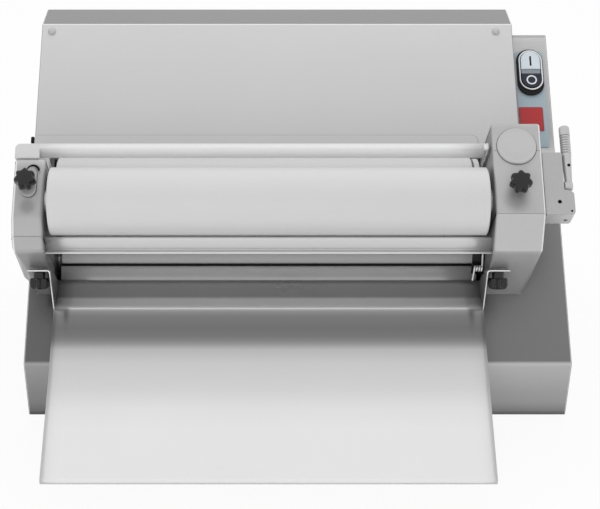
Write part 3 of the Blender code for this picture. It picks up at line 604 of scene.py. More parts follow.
# Painted shade on the right cover: its lower face darker, a darker band past the crease, and a painted shadow
# under the knob.
RIGHT_CAST = cast("right_cover_cast", [
    (0.088, 158), (0.108, 168), (0.1105, 190), (0.143, 188), (0.145, 176), (0.20, 183), (0.258, 176)], "u",
    knob_shadows=[(284, 160, 20, 0.34)])
# Painted highlight: near-white cast for the covers' outer rounds.
HIGHLIGHT_CAST = cast("painted_highlight_cast_edge", 232)
# Painted shade: a darker copy of the cast for the covers' throat walls.
SHADED_THROAT_CAST = cast("throat_wall_painted_shade", 150)
CAP_CAST = cast("cap_cast", 188, tint=(0, 0, 0))
# Painted light and shade on the block: its sides lighter towards the top, its top face darker.
BLOCK_CAST = cast("block_cast", [(0.08, 184), (0.116, 196), (0.1172, 174)], "n")
ROLLER_WHITE = roller_white("roller_white", 207)
REAR_WHITE = roller_white("rear_roller_white", 202)
# Painted shade: the lower roller a darker copy of the roller white.
SHADED_LOWER_WHITE = roller_white("lower_roller_painted_shade", 172)
KNOB_BLACK = moulded("knob_black", grey(16), 0.28, specular=0.45)
BLACK_PLASTIC = moulded("black_plastic", grey(14), 0.30)
RUBBER = moulded("black_rubber", grey(24), 0.75, 900.0)
GEAR_PAINT = moulded("gearmotor_paint", grey(90), 0.5, 700.0)
# Painted shade for the gaps round raised parts.
GAP_SHADE_GREY = moulded("painted_gap_shade", grey(70), 0.7)
# Painted shade for the gap round the slide lip.
SLIDE_GAP_SHADE = moulded("slide_painted_gap_shade", grey(165), 0.7)
# Painted shade: near-black for the insides of holes and slots.
SHADOW_BLACK = moulded("painted_recess_shadow", grey(14), 0.8)
LENS_GREY = moulded("lens_grey", grey(140, (-4, 2, 10)), 0.25, coat=0.3)
KEY_WHITE = moulded("start_key_white", grey(212, (-10, 0, 6)), 0.25, coat=0.3)
KEY_BLACK = moulded("stop_key_black", grey(36, (-8, 0, 16)), 0.25, coat=0.3)
MARK_BLACK = moulded("mark_black", grey(40, (0, 2, 6)), 0.4)
MARK_WHITE = moulded("mark_white", grey(225), 0.4)
RED_LABEL = (316.9, 347.6, 305.6, 339.0)
FILM_BLUE = printed_film("blue_film", grey(172, (-15, 2, 11)))
FILM_RED = printed_film("red_film", grey(150, (20, -124, -120)), grey(120, (10, -95, -95)), RED_LABEL)


def finished(piece, body, slot, *materials, replaces=""):
    """Puts the materials on a piece and lets it ride on its body in place of the plain part named."""
    for material in materials:
        piece.data.materials.append(material)
    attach(piece, body)
    if replaces:
        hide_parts(replaces)


# ---- sheet-metal body

THROAT = ((79, 267, -256.2, 256.2), (91, 267, -267.5, 267.5), (93, 248, -200, 296))


def body_cover():
    """Front wall and sloping cover in one sheet. Its point at (s, t) is the side outline at s, drawn in
    along the outline's normal by the depth of the cross outline at t, whose two ends turn down round the
    sides. The faces inside the throat's boxes, each given by its ends in U and in X, are left out."""
    fold, turn_down = 3.0, 2.4
    side = rounded([(0, BASE_Z), (0, EDGE_Z), slope_yz(SLOPE_LENGTH, 0)], fold, steps=8)
    marks = np.unique([box[:2] for box in THROAT])
    side = np.concatenate([side[:-1], np.stack(slope_yz(marks, 0.0), -1), side[-1:]])
    side = measured(side, 9.0)
    cross = rounded([(BODY_LEFT, turn_down), (BODY_LEFT, 0), (BODY_RIGHT, 0), (BODY_RIGHT, turn_down)],
                    turn_down, steps=5)
    marks = np.unique([box[2:] for box in THROAT])
    half = len(cross) // 2
    cross = np.concatenate([cross[:half], np.stack([marks, 0 * marks], -1), cross[half:]])
    cross = measured(cross, 12.0)
    yz = side[:, None] - side_of(side)[:, None] * cross[None, :, 1:]
    grid = from_yz(cross[None, :, 0], yz[..., 0], yz[..., 1])
    along = u_of(*side.T)
    u = (along[1:] + along[:-1])[:, None] / 2
    x = (cross[1:, 0] + cross[:-1, 0])[None] / 2
    cut = np.zeros((len(side) - 1, len(cross) - 1), bool)
    for low, high, left, right in THROAT:
        cut |= (u > low) & (u < high) & (x > left) & (x < right)
    inset = (BODY_RIGHT - BODY_LEFT) / 2 - np.abs(x - (BODY_LEFT + BODY_RIGHT) / 2)
    # Painted highlight on a band along each side round, and painted shade as a dark outline at the very edge.
    painted_highlight_width, shaded_width = 2.0, 0.75
    sort = (inset < painted_highlight_width).astype(int) + (inset < shaded_width)
    piece = surface("body_cover", grid, keep=~cut, solid=False, sort=sort)
    thicken(piece, SHEET, -1.0, True)
    finished(piece, "base", "stainless_sheet", BODY_STEEL, EDGE_HIGHLIGHT, EDGE_SHADE, replaces="body_shell")


def hood():
    """The slide hood: the side outline runs up its front wall, along the slide, over the flat top and
    down the back; both ends are closed by walls that stand on the sloping cover. Its faces are sorted
    by their normals into sheet, a fold with a painted highlight, a flat top with painted shade and end
    rounds with a painted dark outline."""
    low, lift, start, ridge = 0.6, 23.0, 270.0, 446.6
    top_y, top_z, back_y, foot_z = 340.6, 376.85, 392.5, 300.0
    corners = np.array([slope_yz(start, low), slope_yz(start, lift), (top_y, top_z), (back_y, top_z),
                        (back_y, foot_z)])
    path = measured(rounded(corners, [0, 2.2, 2.6, 2.2, 0], steps=8), 8.0)
    ridge_y, ridge_z = slope_yz(ridge, low)
    feet = np.stack(slope_yz(np.clip(u_of(*path.T), start, ridge), low), -1)
    behind = path[:, 0] > top_y + 6
    feet[behind] = np.stack([np.full(behind.sum(), ridge_y), np.minimum(path[behind, 1], ridge_z)], -1)
    piece = rounded_prism("hood", path, feet, BODY_LEFT, 311.5, 1.6)
    normals = face_vectors(piece, "normal")
    aside, upward = np.abs(normals[:, 0]), normals[:, 2]
    # Painted light: the fold gets the bright edge steel, the flat top its darker copy, the end rounds a dark
    # outline.
    sort = (upward > 0.82).astype(int) + (upward > 0.985)
    sort[(aside > 0.62) & (aside < 0.998) & (upward > 0)] = 3
    sort_faces(piece, sort)
    finished(piece, "base", "stainless_sheet", HOOD_STEEL, EDGE_HIGHLIGHT, SHADED_HOOD_TOP_STEEL, EDGE_SHADE,
             replaces="slide_hood")


def hood_details():
    lip = rounded_box(BODY_LEFT, 259.0, 258.5, 288.6, [0.8, 0.8, 8, 0.8])
    finished(plate("slide_lip_sheet", lip, 23.3, 24.3, 0.35), "base", "stainless_sheet", HOOD_STEEL,
             replaces="slide_lip")
    # Painted shade: a thin grey plate under the slide lip's rim, for the shade in the gap round it.
    lip_gap_outline = rounded_box(BODY_LEFT, 260.0, 257.8, 289.6, [0.8, 0.8, 8.5, 0.8])
    finished(plate("slide_lip_gap_shade", lip_gap_outline, 23.05, 23.25, 0.05), "base", "stainless_sheet", SLIDE_GAP_SHADE)
    head = [(0, 3.4), (1.4, 3.2), (2.8, 2.5), (3.9, 1.5), (4.5, 0.4), (4.5, 0.1), (5.3, 0.1), (5.3, -0.2),
            (0, -0.2)]
    for side, x in (("left", -277.0), ("right", 290.5)):
        finished(turned(f"screw_head_{side}", head, from_un(x, 436.0, 23.3), OFF_SLOPE, 40), "base",
                 "screw_steel", SCREW_STEEL, replaces=f"hood_screw_{side}")
    stop = rounded_box(-295.2, -290.6, 279.5, 288.5, 2.0)
    finished(plate("rubber_stop", stop, 12.5, 21.5, 1.2), "base", "black_rubber", RUBBER,
             replaces="hood_bumper")


# ---- cast covers

def creased(path, spots, width=1.0, depth=0.7):
    """The path with a V-shaped groove pressed in at its own point nearest to each spot."""
    for spot in spots:
        length = lengths(path)
        stops = np.linspace(0, length[-1], 4000)
        centre = stops[np.argmin(np.linalg.norm(points_at(path, stops) - spot, axis=1))]
        marks = centre + np.array([-0.5, 0.0, 0.5]) * width
        notch = points_at(path, marks)
        notch[1] -= side_of(notch)[1] * depth
        path = np.concatenate([path[length < marks[0] - 0.05], notch, path[length > marks[2] + 0.05]])
    return path


HIGHLIGHT_FROM_U = 110.0


def cast_cover(name, profile, radii, spots, x_in, x_of_n, material, node, edge):
    """A hollow-looking cast cover: the side profile (U, N) with rounded corners and shallow grooves,
    carried across from the throat wall to an outer wall that leans in towards the sloping cover. Its
    outer round has a painted highlight only above its front, its edge a painted dark outline, and its
    throat wall a darker copy of the cast for painted shade."""
    path_un = creased(measured(rounded(profile, radii, steps=7), 6.0), spots)
    path = np.stack(slope_yz(path_un[:, 0], path_un[:, 1]), -1)
    feet = np.stack(slope_yz(path_un[:, 0], np.full(len(path_un), 0.4)), -1)
    levels, widths = x_of_n
    x_out = np.interp(path_un[:, 1], levels, widths)
    piece = rounded_prism(name, path, feet, x_in, x_out, edge)
    _, y, z = face_vectors(piece, "center").T / MM
    sort = np.zeros(len(y), np.int32)
    piece.data.polygons.foreach_get("material_index", sort)
    # Painted highlight kept only above the front of the cover.
    sort_faces(piece, np.where((u_of(y - FRONT_Y, z) < HIGHLIGHT_FROM_U) & (sort == 1), 0, sort))
    finished(piece, "base", "cast_cover", material, HIGHLIGHT_CAST, SHADED_THROAT_CAST, EDGE_SHADE, replaces=node)


def covers():
    left = [(88, 0.4), (109.5, 83), (111.5, 89), (122, 99.5), (143, 109.5), (217, 109.5), (217, 84),
            (233, 84), (233, 0.4)]
    cast_cover("left_side_cover", left, [0, 3, 3, 6, 8, 2.5, 0.5, 3, 0], [(110.5, 86), (123, 100)], -WALL_X,
               ((-2, 57, 86, 120), (-279.0, -288.0, -296.0, -296.0)), LEFT_CAST, "left_cover", 4.4)
    right = [(88, 0.4), (110, 87), (143, 121), (258.5, 121), (258.5, 0.4)]
    cast_cover("right_side_cover", right, [0, 3, 3, 6, 0], [(143, 121), (222, 121)], WALL_X,
               ((-2, 57, 86, 125), (303.0, 312.5, 317.0, 317.0)), RIGHT_CAST, "right_cover", 3.4)


def cover_details():
    cap_x, cap_u = 287.9, 227.0
    cap = [(0, 2.2), (17.5, 2.3), (18.6, 2.1), (19.6, 2.35), (21.8, 2.3), (22.7, 1.6), (23, 0.8), (23, 0),
           (0, 0)]
    finished(turned("service_cap", cap, from_un(cap_x, cap_u, 121.3), OFF_SLOPE, 128), "base", "cast_cover",
             CAP_CAST, replaces="cover_cap")
    # Painted shade: a thin dark ring under the cap's rim, for the shade in the gap round it.
    gap = [(0, 0.2), (23.5, 0.2), (23.5, 0), (0, 0)]
    finished(turned("service_cap_gap_shade", gap, from_un(cap_x, cap_u, 121.1), OFF_SLOPE, 96), "base",
             "cast_cover", GAP_SHADE_GREY)
    boss = stadium(9.0, 38.0, (-277.5, 186.5))
    finished(plate("clamp_boss", boss, 109.8, 113.1, 0.9), "base", "cast_cover", LEFT_CAST,
             replaces="left_clamp_boss")
    # Painted shade: a dark outline just under the boss, for the shade in the gap round it.
    boss_gap_outline = stadium(9.3, 38.8, (-277.4, 186.7))
    finished(plate("clamp_boss_gap_shade", boss_gap_outline, 109.0, 109.75, 0.3), "base", "cast_cover", GAP_SHADE_GREY)
    clamp_slot()


# ---- rollers and their shafts

ROLLERS = (
    ("front", "front_roll", -254.0, 254.0, ROLLER_WHITE),
    ("rear", "rear_roll", -256.2, 246.0, REAR_WHITE),
    ("lower", "lower_roll", -252.0, 252.0, SHADED_LOWER_WHITE),
)
SHOULDER = 1.6
SHAFT_RADIUS, CHAMFER = 8.0, 0.8


def rollers():
    """Each roller is a white sleeve with a small rounded shoulder at both ends, on a steel journal."""
    for name, body, left, right, white in ROLLERS:
        node = f"{name}_roller"
        foot = np.array(JOINTS[f"{name}_spin"]["pos_m"])
        low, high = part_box(node)
        radius = (high.z - low.z) / 2 / MM
        turn = np.linspace(0, math.pi / 2, 6)
        shoulder = [(radius - SHOULDER * (1 - math.sin(a)), SHOULDER * (1 - math.cos(a))) for a in turn]
        end = [(8.2, 0.0), (12, 0.0), (12.4, 0.6), (16.5, 0.6), (17, 0.0)] + shoulder
        side = [(radius, h) for h in np.linspace(right - 2, left + 2, 25)]
        profile = [(r, right - h) for r, h in end] + side + [(r, left + h) for r, h in end[::-1]]
        profile.append(profile[0])
        sleeve = turned(f"{name}_roller_sleeve", profile, foot, (1, 0, 0), 160)
        finished(sleeve, body, "white_roller", white, replaces=node)
        start, stop = (low.x - foot[0]) / MM, (high.x - foot[0]) / MM
        small = SHAFT_RADIUS - CHAMFER
        bar = [(0, stop), (small, stop), (SHAFT_RADIUS, stop - CHAMFER), (SHAFT_RADIUS, start + CHAMFER),
               (small, start), (0, start)]
        finished(turned(f"{name}_roller_shaft", bar, foot, (1, 0, 0), 48), body, "bright_steel", SHAFT_STEEL)
        if name == "rear":
            rear_collar(foot, radius - 1.2, body)


def rear_collar(foot, radius, body):
    """The white collar past the right end of the rear sleeve."""
    bore, left, right = 8.2, 248.2, 254.8
    collar = [(bore, left), (radius - CHAMFER, left), (radius, left + CHAMFER), (radius, right - CHAMFER),
              (radius - CHAMFER, right), (bore, right), (bore, left)]
    finished(turned("rear_roller_collar", collar, foot, (1, 0, 0), 96), body, "white_roller", REAR_WHITE)


# ---- clamp knobs

LOBES, LOBE_DEPTH, LOBE_SQUARE = 7, 0.21, 0.6


def knob(side, level, radius, head, stem_radius, stem):
    """A lobed knob: radius = profile(height) * (1 - depth(height) * g), where g goes from 0 to 1 as
    (1 - tanh(k cos(lobes * turn)) / tanh k) / 2: broad lobes and narrow notches that fade out towards the
    domed middle and the round stem."""
    node = f"{side}_{level}_knob"
    joint = JOINTS[f"{level}_{side}_turn"]
    axis = unit(joint["axis"])
    half = head / 2
    shape = np.array([
        (0.0, half, 0.0), (0.25, half, 0.0), (0.50, half - 0.15, 0.05), (0.70, half - 0.5, 0.35),
        (0.84, half - 1.2, 0.75), (0.93, half - 2.4, 0.95), (0.98, half - 4.2, 1.0), (1.0, half - 6.2, 1.0),
        (1.0, 2.4 - half, 1.0), (0.98, 1.2 - half, 1.0), (0.94, 0.4 - half, 0.95), (0.88, -half, 0.9)])
    neck = np.array([(stem_radius / radius, -half, 0.0), (stem_radius / radius, -half - stem, 0.0),
                     (0.0, -half - stem, 0.0)])
    shape = np.concatenate([shape, neck])
    turn = whole_turn(24 * LOBES)
    wave = np.tanh(LOBE_SQUARE * np.cos(LOBES * turn)) / math.tanh(LOBE_SQUARE)
    notch = LOBE_DEPTH * (0.5 - 0.5 * wave)
    r = radius * shape[:, :1] * (1 - shape[:, 2:] * notch[None])
    across = unit(np.cross(axis, (1.0, 0.0, 0.0)))
    other = np.cross(axis, across)
    ring = np.cos(turn)[:, None] * across + np.sin(turn)[:, None] * other
    centre = np.array(joint["pos_m"])
    grid = centre + MM * (r[..., None] * ring[None] + shape[:, 1, None, None] * axis)
    piece = surface(f"{node}_moulded", grid, close_columns=True)
    finished(piece, f"{level}_{side}_clamp", "black_plastic", KNOB_BLACK, replaces=node)


def knobs():
    knob("left", "upper", 12.8, 14, 6.5, 4)
    knob("right", "upper", 13.2, 14, 6.5, 7)
    for side in ("left", "right"):
        knob(side, "lower", 11.9, 13, 7.0, 7)


# ---- guards and scrapers

def infeed_guard():
    """A flange along the top of the front roller whose lip turns down behind it, a wing at the right end
    and a solid pad at the left end."""
    front, back, top = 229.6, 235.8, 111.0
    lip_y, lip_z = slope_yz(front, top)
    for name, x0, x1, drop in (("bar", -279.0, 252.0, 12.6), ("flange", 252.0, 256.4, 3.0)):
        path = np.array([slope_yz(back, top), (lip_y, lip_z), (lip_y, lip_z - drop)])
        piece = folded(f"guard_{name}", path, x0, x1, 1.4, 1.6, -1.0)
        finished(piece, "base", "bright_steel", LIP_STEEL, EDGE_HIGHLIGHT)
    wing = rounded_box(front - 0.2, back + 1.0, 50.0, top - 0.7, 1.0)
    piece = plate("guard_wing", wing, 256.0, 257.3, 0.3, place=lambda u, n, x: from_un(x, u, n))
    sort_faces(piece, np.abs(face_vectors(piece, "normal")[:, 0]) > 0.97)
    finished(piece, "base", "bright_steel", EDGE_HIGHLIGHT, INNER_STEEL)
    pad = rounded_box(-296.0, -267.5, 217.3, back, [1, 0.6, 1, 6])
    finished(plate("guard_pad", pad, 84.6, top + 0.1, 0.5), "base", "bright_steel", PAD_STEEL,
             replaces="infeed_guard")


def block_holes():
    """The painted shade in the block's three small holes: dark shallow turned cups just under its faces."""
    holes = (("oil", (333.8, 158.8, 118.0), 2.3, OFF_SLOPE), ("grub", (347.0, 147.4, 118.0), 1.35, OFF_SLOPE),
             ("face", (342.5, 143.0, 100.0), 2.3, -UP_SLOPE))
    for name, spot, radius, axis in holes:
        cup = [(0, -1.2), (radius - 0.3, -1.2), (radius, -0.7), (radius, -2.4), (0, -2.4)]
        cup = turned(f"{name}_hole_shade", cup, from_un(*spot), axis, 32)
        finished(cup, "base", "dark_steel", SHADOW_BLACK)


def clamp_slot():
    """The painted shadow in the end of the clamp's slot: a dark crescent whose radius and centre both
    grow with the share across it."""
    turn = np.linspace(math.radians(2), math.radians(165), 48)[None]
    share = np.linspace(0, 1, 4)[:, None]
    radius = 6.4 + 1.5 * share
    x = -273.8 + 0.8 * share + radius * np.cos(turn)
    u = 198.8 + 1.0 * share + radius * np.sin(turn)
    piece = surface("clamp_slot_shadow", from_un(x, u, 113.3 + 0 * x), solid=False)
    thicken(piece, 0.2, -1.0, False)
    finished(piece, "base", "cast_cover", SHADOW_BLACK)


def scrapers():
    rail = [(44, 213.75), (50.75, 213.75), (50.75, 229.1), (53.0, 230.3)]
    finished(folded("rail_sheet", rail, -259.7, 259.7, SHEET, [0, 1.8, 1.8, 0]), "base", "stainless_sheet",
             RAIL_STEEL, EDGE_HIGHLIGHT, replaces="scraper_rail")
    lower = [(100.6, 160.4), (89.65, 146.3), (89.65, 128.2)]
    finished(folded("lower_scraper_sheet", lower, -252, 252, SHEET, [0, 2.5, 0]), "base", "stainless_sheet",
             SCRAPER_STEEL, EDGE_HIGHLIGHT, replaces="lower_scraper")


def gap_shade_strips():
    """A black strip along the lower scraper's top edge, leaning on the roller, painted shade for the gap
    there, and a black plate behind the wire spring, painted shade behind its coil."""
    # Painted shade: a black strip for the shade in the gap between the lower scraper and its roller.
    lip = [(100.9, 161.0), (102.1, 163.6)]
    finished(folded("lower_gap_shade_strip", lip, -251.5, 251.5, 1.1, 0, edged=False), "base", "black_rubber",
             RUBBER)
    # Painted shade: a black plate behind the spring's coil.
    spring_shade_outline = [(66.0, 172.0), (66.0, 206.0)]
    finished(folded("spring_shade_plate", spring_shade_outline, 241.0, 256.0, 1.2, 0, edged=False), "base", "dark_steel",
             BLACK_PLASTIC)


def spring_clip():
    """A wire clip: a straight leg, three and a bit turns round an axis across the machine, and a second
    leg. Each ring of the tube stands square to the wire, its first spoke pointing away from the coil's
    axis."""
    x, ring_y, ring_z, ring_r, wire = 247.6, 60.0, 183.0, 2.9, 1.1
    share = np.linspace(0, 1, 80)
    angle = math.pi + 2 * math.pi * 3.25 * share
    coil = grid_of(x - 4.4 + 9.4 * share, ring_y + ring_r * np.cos(angle), ring_z - ring_r * np.sin(angle))
    lower = grid_of(np.linspace(x - 5.6, x - 4.6, 6), np.linspace(57.4, 57.1, 6), np.linspace(168, 180, 6))
    upper = grid_of(np.linspace(x + 4.9, x + 4.4, 6), np.full(6, 60.2), np.linspace(187.5, 203, 6))
    line = np.concatenate([lower, coil, upper])
    along = np.gradient(line, axis=0)
    along /= np.linalg.norm(along, axis=1)[:, None]
    spoke = grid_of(0 * angle, np.cos(angle), -np.sin(angle))
    spoke = np.concatenate([np.repeat(spoke[:1], 6, 0), spoke, np.repeat(spoke[-1:], 6, 0)])
    spoke -= (spoke * along).sum(1)[:, None] * along
    spoke /= np.linalg.norm(spoke, axis=1)[:, None]
    other = np.cross(along, spoke)
    turn = whole_turn(16)
    tube = line[:, None] + wire * (np.cos(turn)[None, :, None] * spoke[:, None]
                                   + np.sin(turn)[None, :, None] * other[:, None])
    tube = np.concatenate([line[:1, None] + 0 * tube[:1], tube, line[-1:, None] + 0 * tube[:1]])
    piece = surface("spring_wire", from_yz(tube[..., 0], tube[..., 1], tube[..., 2]), close_columns=True)
    finished(piece, "base", "bright_steel", SPRING_STEEL, replaces="spring_clip")


# ---- chute

CLAMP_Y, CLAMP_Z, CLAMP_TILT = 38.6, 191.0, math.radians(27.7)
CHUTE_HALF, CHUTE_SHEET, EAR_END = 255.4, 1.3, 281.0


def ear_yz(across, above):
    """The (Y, Z) of a point on the chute's ears, counted from the middle of the clamp knobs' stems."""
    y = CLAMP_Y + across * math.cos(CLAMP_TILT) + above * math.sin(CLAMP_TILT)
    return y, CLAMP_Z + above * math.cos(CLAMP_TILT) - across * math.sin(CLAMP_TILT)


def chute_tray():
    """The discharge tray: its side outline (Y, Z) carried straight across."""
    path = rounded([(87.3, 148.0), (61.0, 138.9), (42.5, 140.0), (-34, 93.1), (-146.8, 33.9), (-146.6, 28.9)],
                   [0, 22, 9, 120, 2.6, 0], steps=10)
    path = measured(path, 8.0)
    xs = np.linspace(-CHUTE_HALF, CHUTE_HALF, 24)[:, None]
    tray = surface("chute_tray_sheet", from_yz(xs, path[None, :, 0], path[None, :, 1]), solid=False)
    thicken(tray, CHUTE_SHEET, 1.0, True)
    finished(tray, "chute_tray", "bright_steel", CHUTE_STEEL, EDGE_HIGHLIGHT, replaces="chute")


def chute_cheeks():
    """Each cheek runs from the tray's edge up to an ear: a straight line between both edges, bulged
    backwards by 4 v (1 - v), then a round fold outwards and the flat ear."""
    fold, above = 2.2, 1.6
    deep = np.linspace(0, 1, 14)[None, :]
    climb = np.linspace(0, 1, 16)[:, None]
    foot = np.stack([38.5 + 45.5 * deep, 138.2 + 6.2 * deep ** 2], -1)
    across = -8.0 + 16.2 * deep
    top = np.stack(ear_yz(across, above - fold), -1)
    cheek = foot + climb[..., None] * (top - foot)
    cheek = cheek + (4 * climb * (1 - climb) * deep)[..., None] * np.array([3.0, 0.5])
    turn = np.linspace(0, math.pi / 2, 6)[1:, None]
    over = np.stack(ear_yz(across + 0 * turn, above - fold + fold * np.sin(turn)), -1)
    reach = np.linspace(fold + 1, EAR_END - CHUTE_HALF, 8)[:, None]
    flat = np.stack(ear_yz(across + 0 * reach, above), -1)
    yz = np.concatenate([cheek, over, flat])
    out = np.concatenate([0 * climb, fold * (1 - np.cos(turn)), reach])
    for side, sign in (("left", -1.0), ("right", 1.0)):
        grid = from_yz(sign * (CHUTE_HALF + out), yz[..., 0], yz[..., 1])
        ear = surface(f"chute_cheek_{side}", grid, solid=False)
        thicken(ear, CHUTE_SHEET, -sign, True)
        finished(ear, "chute_tray", "bright_steel", CHEEK_STEEL, EDGE_HIGHLIGHT, replaces=f"{side}_chute_ear")


# ---- gap lever

def gap_lever():
    """The lever's grip is a turned bar with grip grooves and a drawn-in neck, on a round hub."""
    pivot = np.array(JOINTS["lever_turn"]["pos_m"])
    reach = 76.5
    profile = [(0, reach), (3.2, reach), (4.8, reach - 0.4), (5.8, reach - 1.4), (6.2, reach - 3),
               (6.2, reach - 12)]
    for groove_top in reach - 12 - 3.2 * np.arange(8):
        profile += [(5.2, groove_top - 0.3), (4.9, groove_top - 0.7), (5.2, groove_top - 1.1),
                    (6.1, groove_top - 1.5), (6.1, groove_top - 2.9)]
    profile += [(5.7, reach - 39), (4.5, 9), (4.3, 2), (0, 2)]
    grip = turned("lever_grip", profile, pivot, UP_SLOPE, 64)
    hub_x, hub_half, hub_radius, chamfer = -0.8, 4.9, 5.8, 0.9
    hub = [(0, hub_half), (hub_radius - chamfer, hub_half), (hub_radius, hub_half - chamfer),
           (hub_radius, chamfer - hub_half), (hub_radius - chamfer, -hub_half), (0, -hub_half)]
    hub = turned("lever_hub", hub, pivot + np.array([hub_x * MM, 0, 0]), (1, 0, 0), 64)
    finished(grip, "lever", "bright_steel", LEVER_STEEL, replaces="gap_lever")
    finished(hub, "lever", "bright_steel", SHAFT_STEEL)
    # Painted shade: a dark disc in the grip's pin hole.
    pin_x, pin_up, pin_off = 1.0, 25.0, 4.35
    pin_foot = pivot + MM * (np.array([pin_x, 0, 0]) + pin_up * UP_SLOPE + pin_off * OFF_SLOPE)
    pin = [(0, 0.9), (1.7, 0.9), (2.0, 0.7), (2.0, -1.5), (0, -1.5)]
    finished(turned("lever_pin_hole", pin, pin_foot, OFF_SLOPE, 24), "lever", "dark_steel", SHADOW_BLACK)


# ---- switch and labels

def ring_band(name, line, wide, high, n):
    """A ring of elliptical section round a closed flat line in (X, U): each point is the line's point
    moved by wide * cos along its normal, at height n + high * sin."""
    psi = whole_turn(20)[:, None]
    normal = side_of(line, closed=True)
    flat = line[None] + normal[None] * (wide * np.cos(psi))[..., None]
    grid = from_un(flat[..., 0], flat[..., 1], n + high * np.sin(psi))
    return surface(name, grid, close_rows=True, close_columns=True)


def labels():
    strip = rounded_box(316.8, 352.8, 283.3, 419.0, 3)
    finished(plate("control_film", strip, 0.3, 1.1, 0.25), "base", "blue_label", FILM_BLUE,
             replaces="control_plate")
    finished(plate("red_film", rounded_box(*RED_LABEL, 2), 1.2, 1.9, 0.25), "base", "red_label", FILM_RED,
             replaces="blank_label")


def push_buttons():
    """A start key above and a stop key below a signal lens, in a bright ring on a black housing."""
    x, u = 334.9, 389.6
    housing = stadium(17.0, 66.0, (x - 0.3, u - 1.6))
    finished(plate("switch_housing", housing, 1.3, 4.5, 1.4), "base", "black_plastic", BLACK_PLASTIC,
             replaces="switch_base")
    finished(ring_band("switch_ring", stadium(14.0, 54.6, (x, u), 40), 1.2, 1.6, 6.1), "base", "bright_steel",
             CHROME, replaces="switch_bezel")
    stop_top, start_foot, half = 383.5, 390.2, 12.2
    rim = stadium(half, 51.2, (x, u), 28)
    start = np.concatenate([[(x + half, start_foot)], rim[rim[:, 1] > u], [(x - half, start_foot)]])
    stop = np.concatenate([[(x - half, stop_top)], rim[rim[:, 1] < u], [(x + half, stop_top)]])
    key_low, key_high, key_edge = 3.2, 8.6, 0.7
    finished(plate("start_key_cap", start, key_low, key_high, key_edge), "start_key", "white_button",
             KEY_WHITE, replaces="start_button")
    bar = rounded_box(x - 1.2, x + 1.2, 394.6, 408.4, 0.4)
    finished(plate("start_key_bar", bar, key_high - 0.1, key_high + 0.12, 0.08), "start_key", "black_button",
             MARK_BLACK)
    finished(plate("stop_key_cap", stop, key_low, key_high, key_edge), "stop_key", "black_button", KEY_BLACK,
             replaces="stop_button")
    turn = whole_turn(48)
    circle = np.stack([x + 5.7 * np.cos(turn), 374.4 + 5.7 * np.sin(turn)], -1)
    finished(ring_band("stop_key_ring", circle, 0.9, 0.16, key_high - 0.02), "stop_key", "white_button",
             MARK_WHITE)
    lens = rounded_box(x - 12.1, x + 12.1, 383.9, 389.8, 0.8)
    finished(plate("lens_bar", lens, 1.6, 7.5, 0.6), "base", "lens", LENS_GREY, replaces="switch_lens")


# ---- feet and the carried-over parts

def feet():
    for end in ("front_left", "front_right", "back_left", "back_right"):
        node = f"foot_{end}"
        low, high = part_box(node)
        middle = ((low.x + high.x) / 2, (low.y + high.y) / 2, low.z)
        tall = (high.z - low.z) / MM
        profile = [(0, tall), (12.6, tall), (13.4, tall - 0.8), (13.4, tall - 2), (12.2, 5), (11.2, 1.6),
                   (10.2, 0.4), (9.4, 0.0), (3.5, 0.0), (3.2, 1.6), (0, 1.6)]
        finished(turned(f"rubber_{node}", profile, middle, (0, 0, 1), 64), "base", "black_rubber", RUBBER,
                 replaces=node)


def carried_over():
    """The parts whose plain solids are already their real shape get a finish, and worn edges where they
    show."""
    panels = ["left_side_panel", "right_side_panel", "back_panel", "bottom_plate"]
    bushes = [f"{side}_{name}_bush" for side in ("left", "right") for name in ("front", "rear", "lower")]
    table = [
        (panels, SIDE_STEEL, "stainless_sheet", 0.3),
        (["left_frame", "right_frame"], INNER_STEEL, "stainless_sheet", 0.4),
        (bushes, SHAFT_STEEL, "bright_steel", 0.3),
        (["gap_shaft", "motor_shaft"], SHAFT_STEEL, "bright_steel", 0.4),
        (["rear_sprocket", "motor_sprocket", "drive_chain"], OILED_STEEL, "dark_steel", 0.25),
        (["gearmotor"], GEAR_PAINT, "dark_steel", 1.5),
        (["cable_gland"], BLACK_PLASTIC, "black_plastic", 0.4),
        (["adjusting_block"], BLOCK_CAST, "cast_cover", 0.9),
    ]
    for names, material, slot, edge in table:
        for name in names:
            node = frame["nodes"][name]
            node.data.materials.clear()
            node.data.materials.append(material)
            eased(node, edge)


# ---- light and view

def seen_directly(tree):
    """1 for rays from the camera or off a glossy or clear surface, and 0 for the rays that light the
    scene."""
    ray = Wire(tree, None).node("ShaderNodeLightPath")
    outputs = ray.socket.node.outputs
    seen = ray + Wire(tree, outputs["Is Glossy Ray"]) + Wire(tree, outputs["Is Transmission Ray"])
    return seen.math("MINIMUM", seen, 1.0)


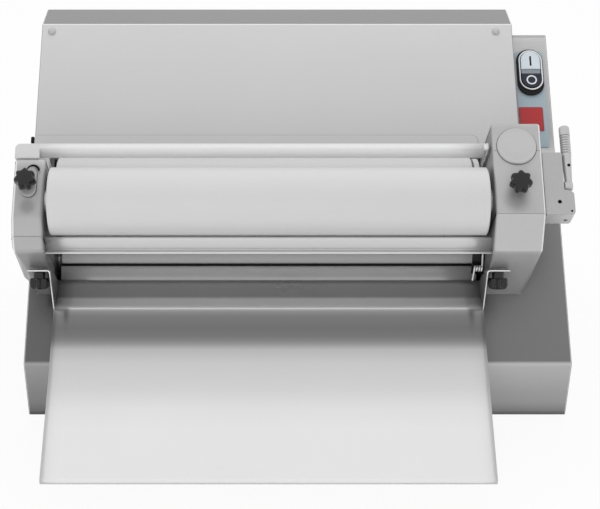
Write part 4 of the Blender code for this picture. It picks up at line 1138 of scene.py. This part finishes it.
def studio():
    world = bpy.data.worlds.new("studio")
    bpy.context.scene.world = world
    world.use_nodes = True
    tree = world.node_tree
    background = tree.nodes["Background"]
    background.inputs["Color"].default_value = (1, 1, 1, 1)
    strength = seen_directly(tree) * (1.0 - WORLD_LIGHT) + WORLD_LIGHT
    tree.links.new(strength.socket, background.inputs["Strength"])
    for name, size, energy, place, aim in LAMPS:
        lamp = bpy.data.lights.new(name, "AREA")
        lamp.shape = "RECTANGLE"
        lamp.size, lamp.size_y = size
        lamp.energy = energy
        holder = bpy.data.objects.new(name, lamp)
        bpy.context.scene.collection.objects.link(holder)
        holder.location = place
        direction = np.asarray(aim, float) - np.asarray(place, float)
        holder.rotation_euler = Vector(direction).to_track_quat("-Z", "Y").to_euler()
        holder.visible_glossy = False


def floor():
    """A pale round floor just under the feet, whose rings widen as the square of their number."""
    size, drop = 6.0, 0.0002
    ring = np.linspace(0, 1, 20)[:, None] ** 2 * size
    turn = whole_turn(96)[None]
    piece = surface("floor", grid_of(ring * np.cos(turn), ring * np.sin(turn), 0 * ring - drop),
                    close_columns=True, solid=False)
    material = bpy.data.materials.new("pale_floor")
    material.use_nodes = True
    tree = material.node_tree
    diffuse = tree.nodes["Principled BSDF"]
    diffuse.inputs["Base Color"].default_value = (0.86, 0.86, 0.86, 1)
    diffuse.inputs["Roughness"].default_value = 0.9
    diffuse.inputs["Specular IOR Level"].default_value = 0.1
    start = Wire(tree, None)
    glow = start.node("ShaderNodeEmission", inputs={"Color": (1, 1, 1, 1), "Strength": 1.0})
    shaders = {0: seen_directly(tree) * FLOOR_GLOW, 1: Wire(tree, diffuse.outputs[0]), 2: glow}
    mix = start.node("ShaderNodeMixShader", inputs=shaders)
    tree.links.new(mix.socket, tree.nodes["Material Output"].inputs["Surface"])
    piece.data.materials.append(material)


def camera():
    """A long lens far in front of the machine, looking down at the slope."""
    data = bpy.data.cameras.new("view")
    data.lens = 85.02
    data.sensor_width = 36.0
    data.shift_x = 0.0523
    view = bpy.data.objects.new("view", data)
    distance, height, tilt = 1363.3, 1.071, 58.6
    view.location = (ROLLER_X * MM, (FRONT_Y - distance) * MM, height)
    view.rotation_euler = (math.radians(tilt), 0, 0)
    bpy.context.scene.collection.objects.link(view)
    bpy.context.scene.camera = view
    bpy.context.scene.view_settings.view_transform = "Standard"


for make in (studio, floor, camera, body_cover, hood, hood_details, covers, cover_details, rollers, knobs,
             infeed_guard, block_holes, scrapers, spring_clip, gap_shade_strips, chute_tray, chute_cheeks, gap_lever,
             labels, push_buttons, feet, carried_over):
    make()
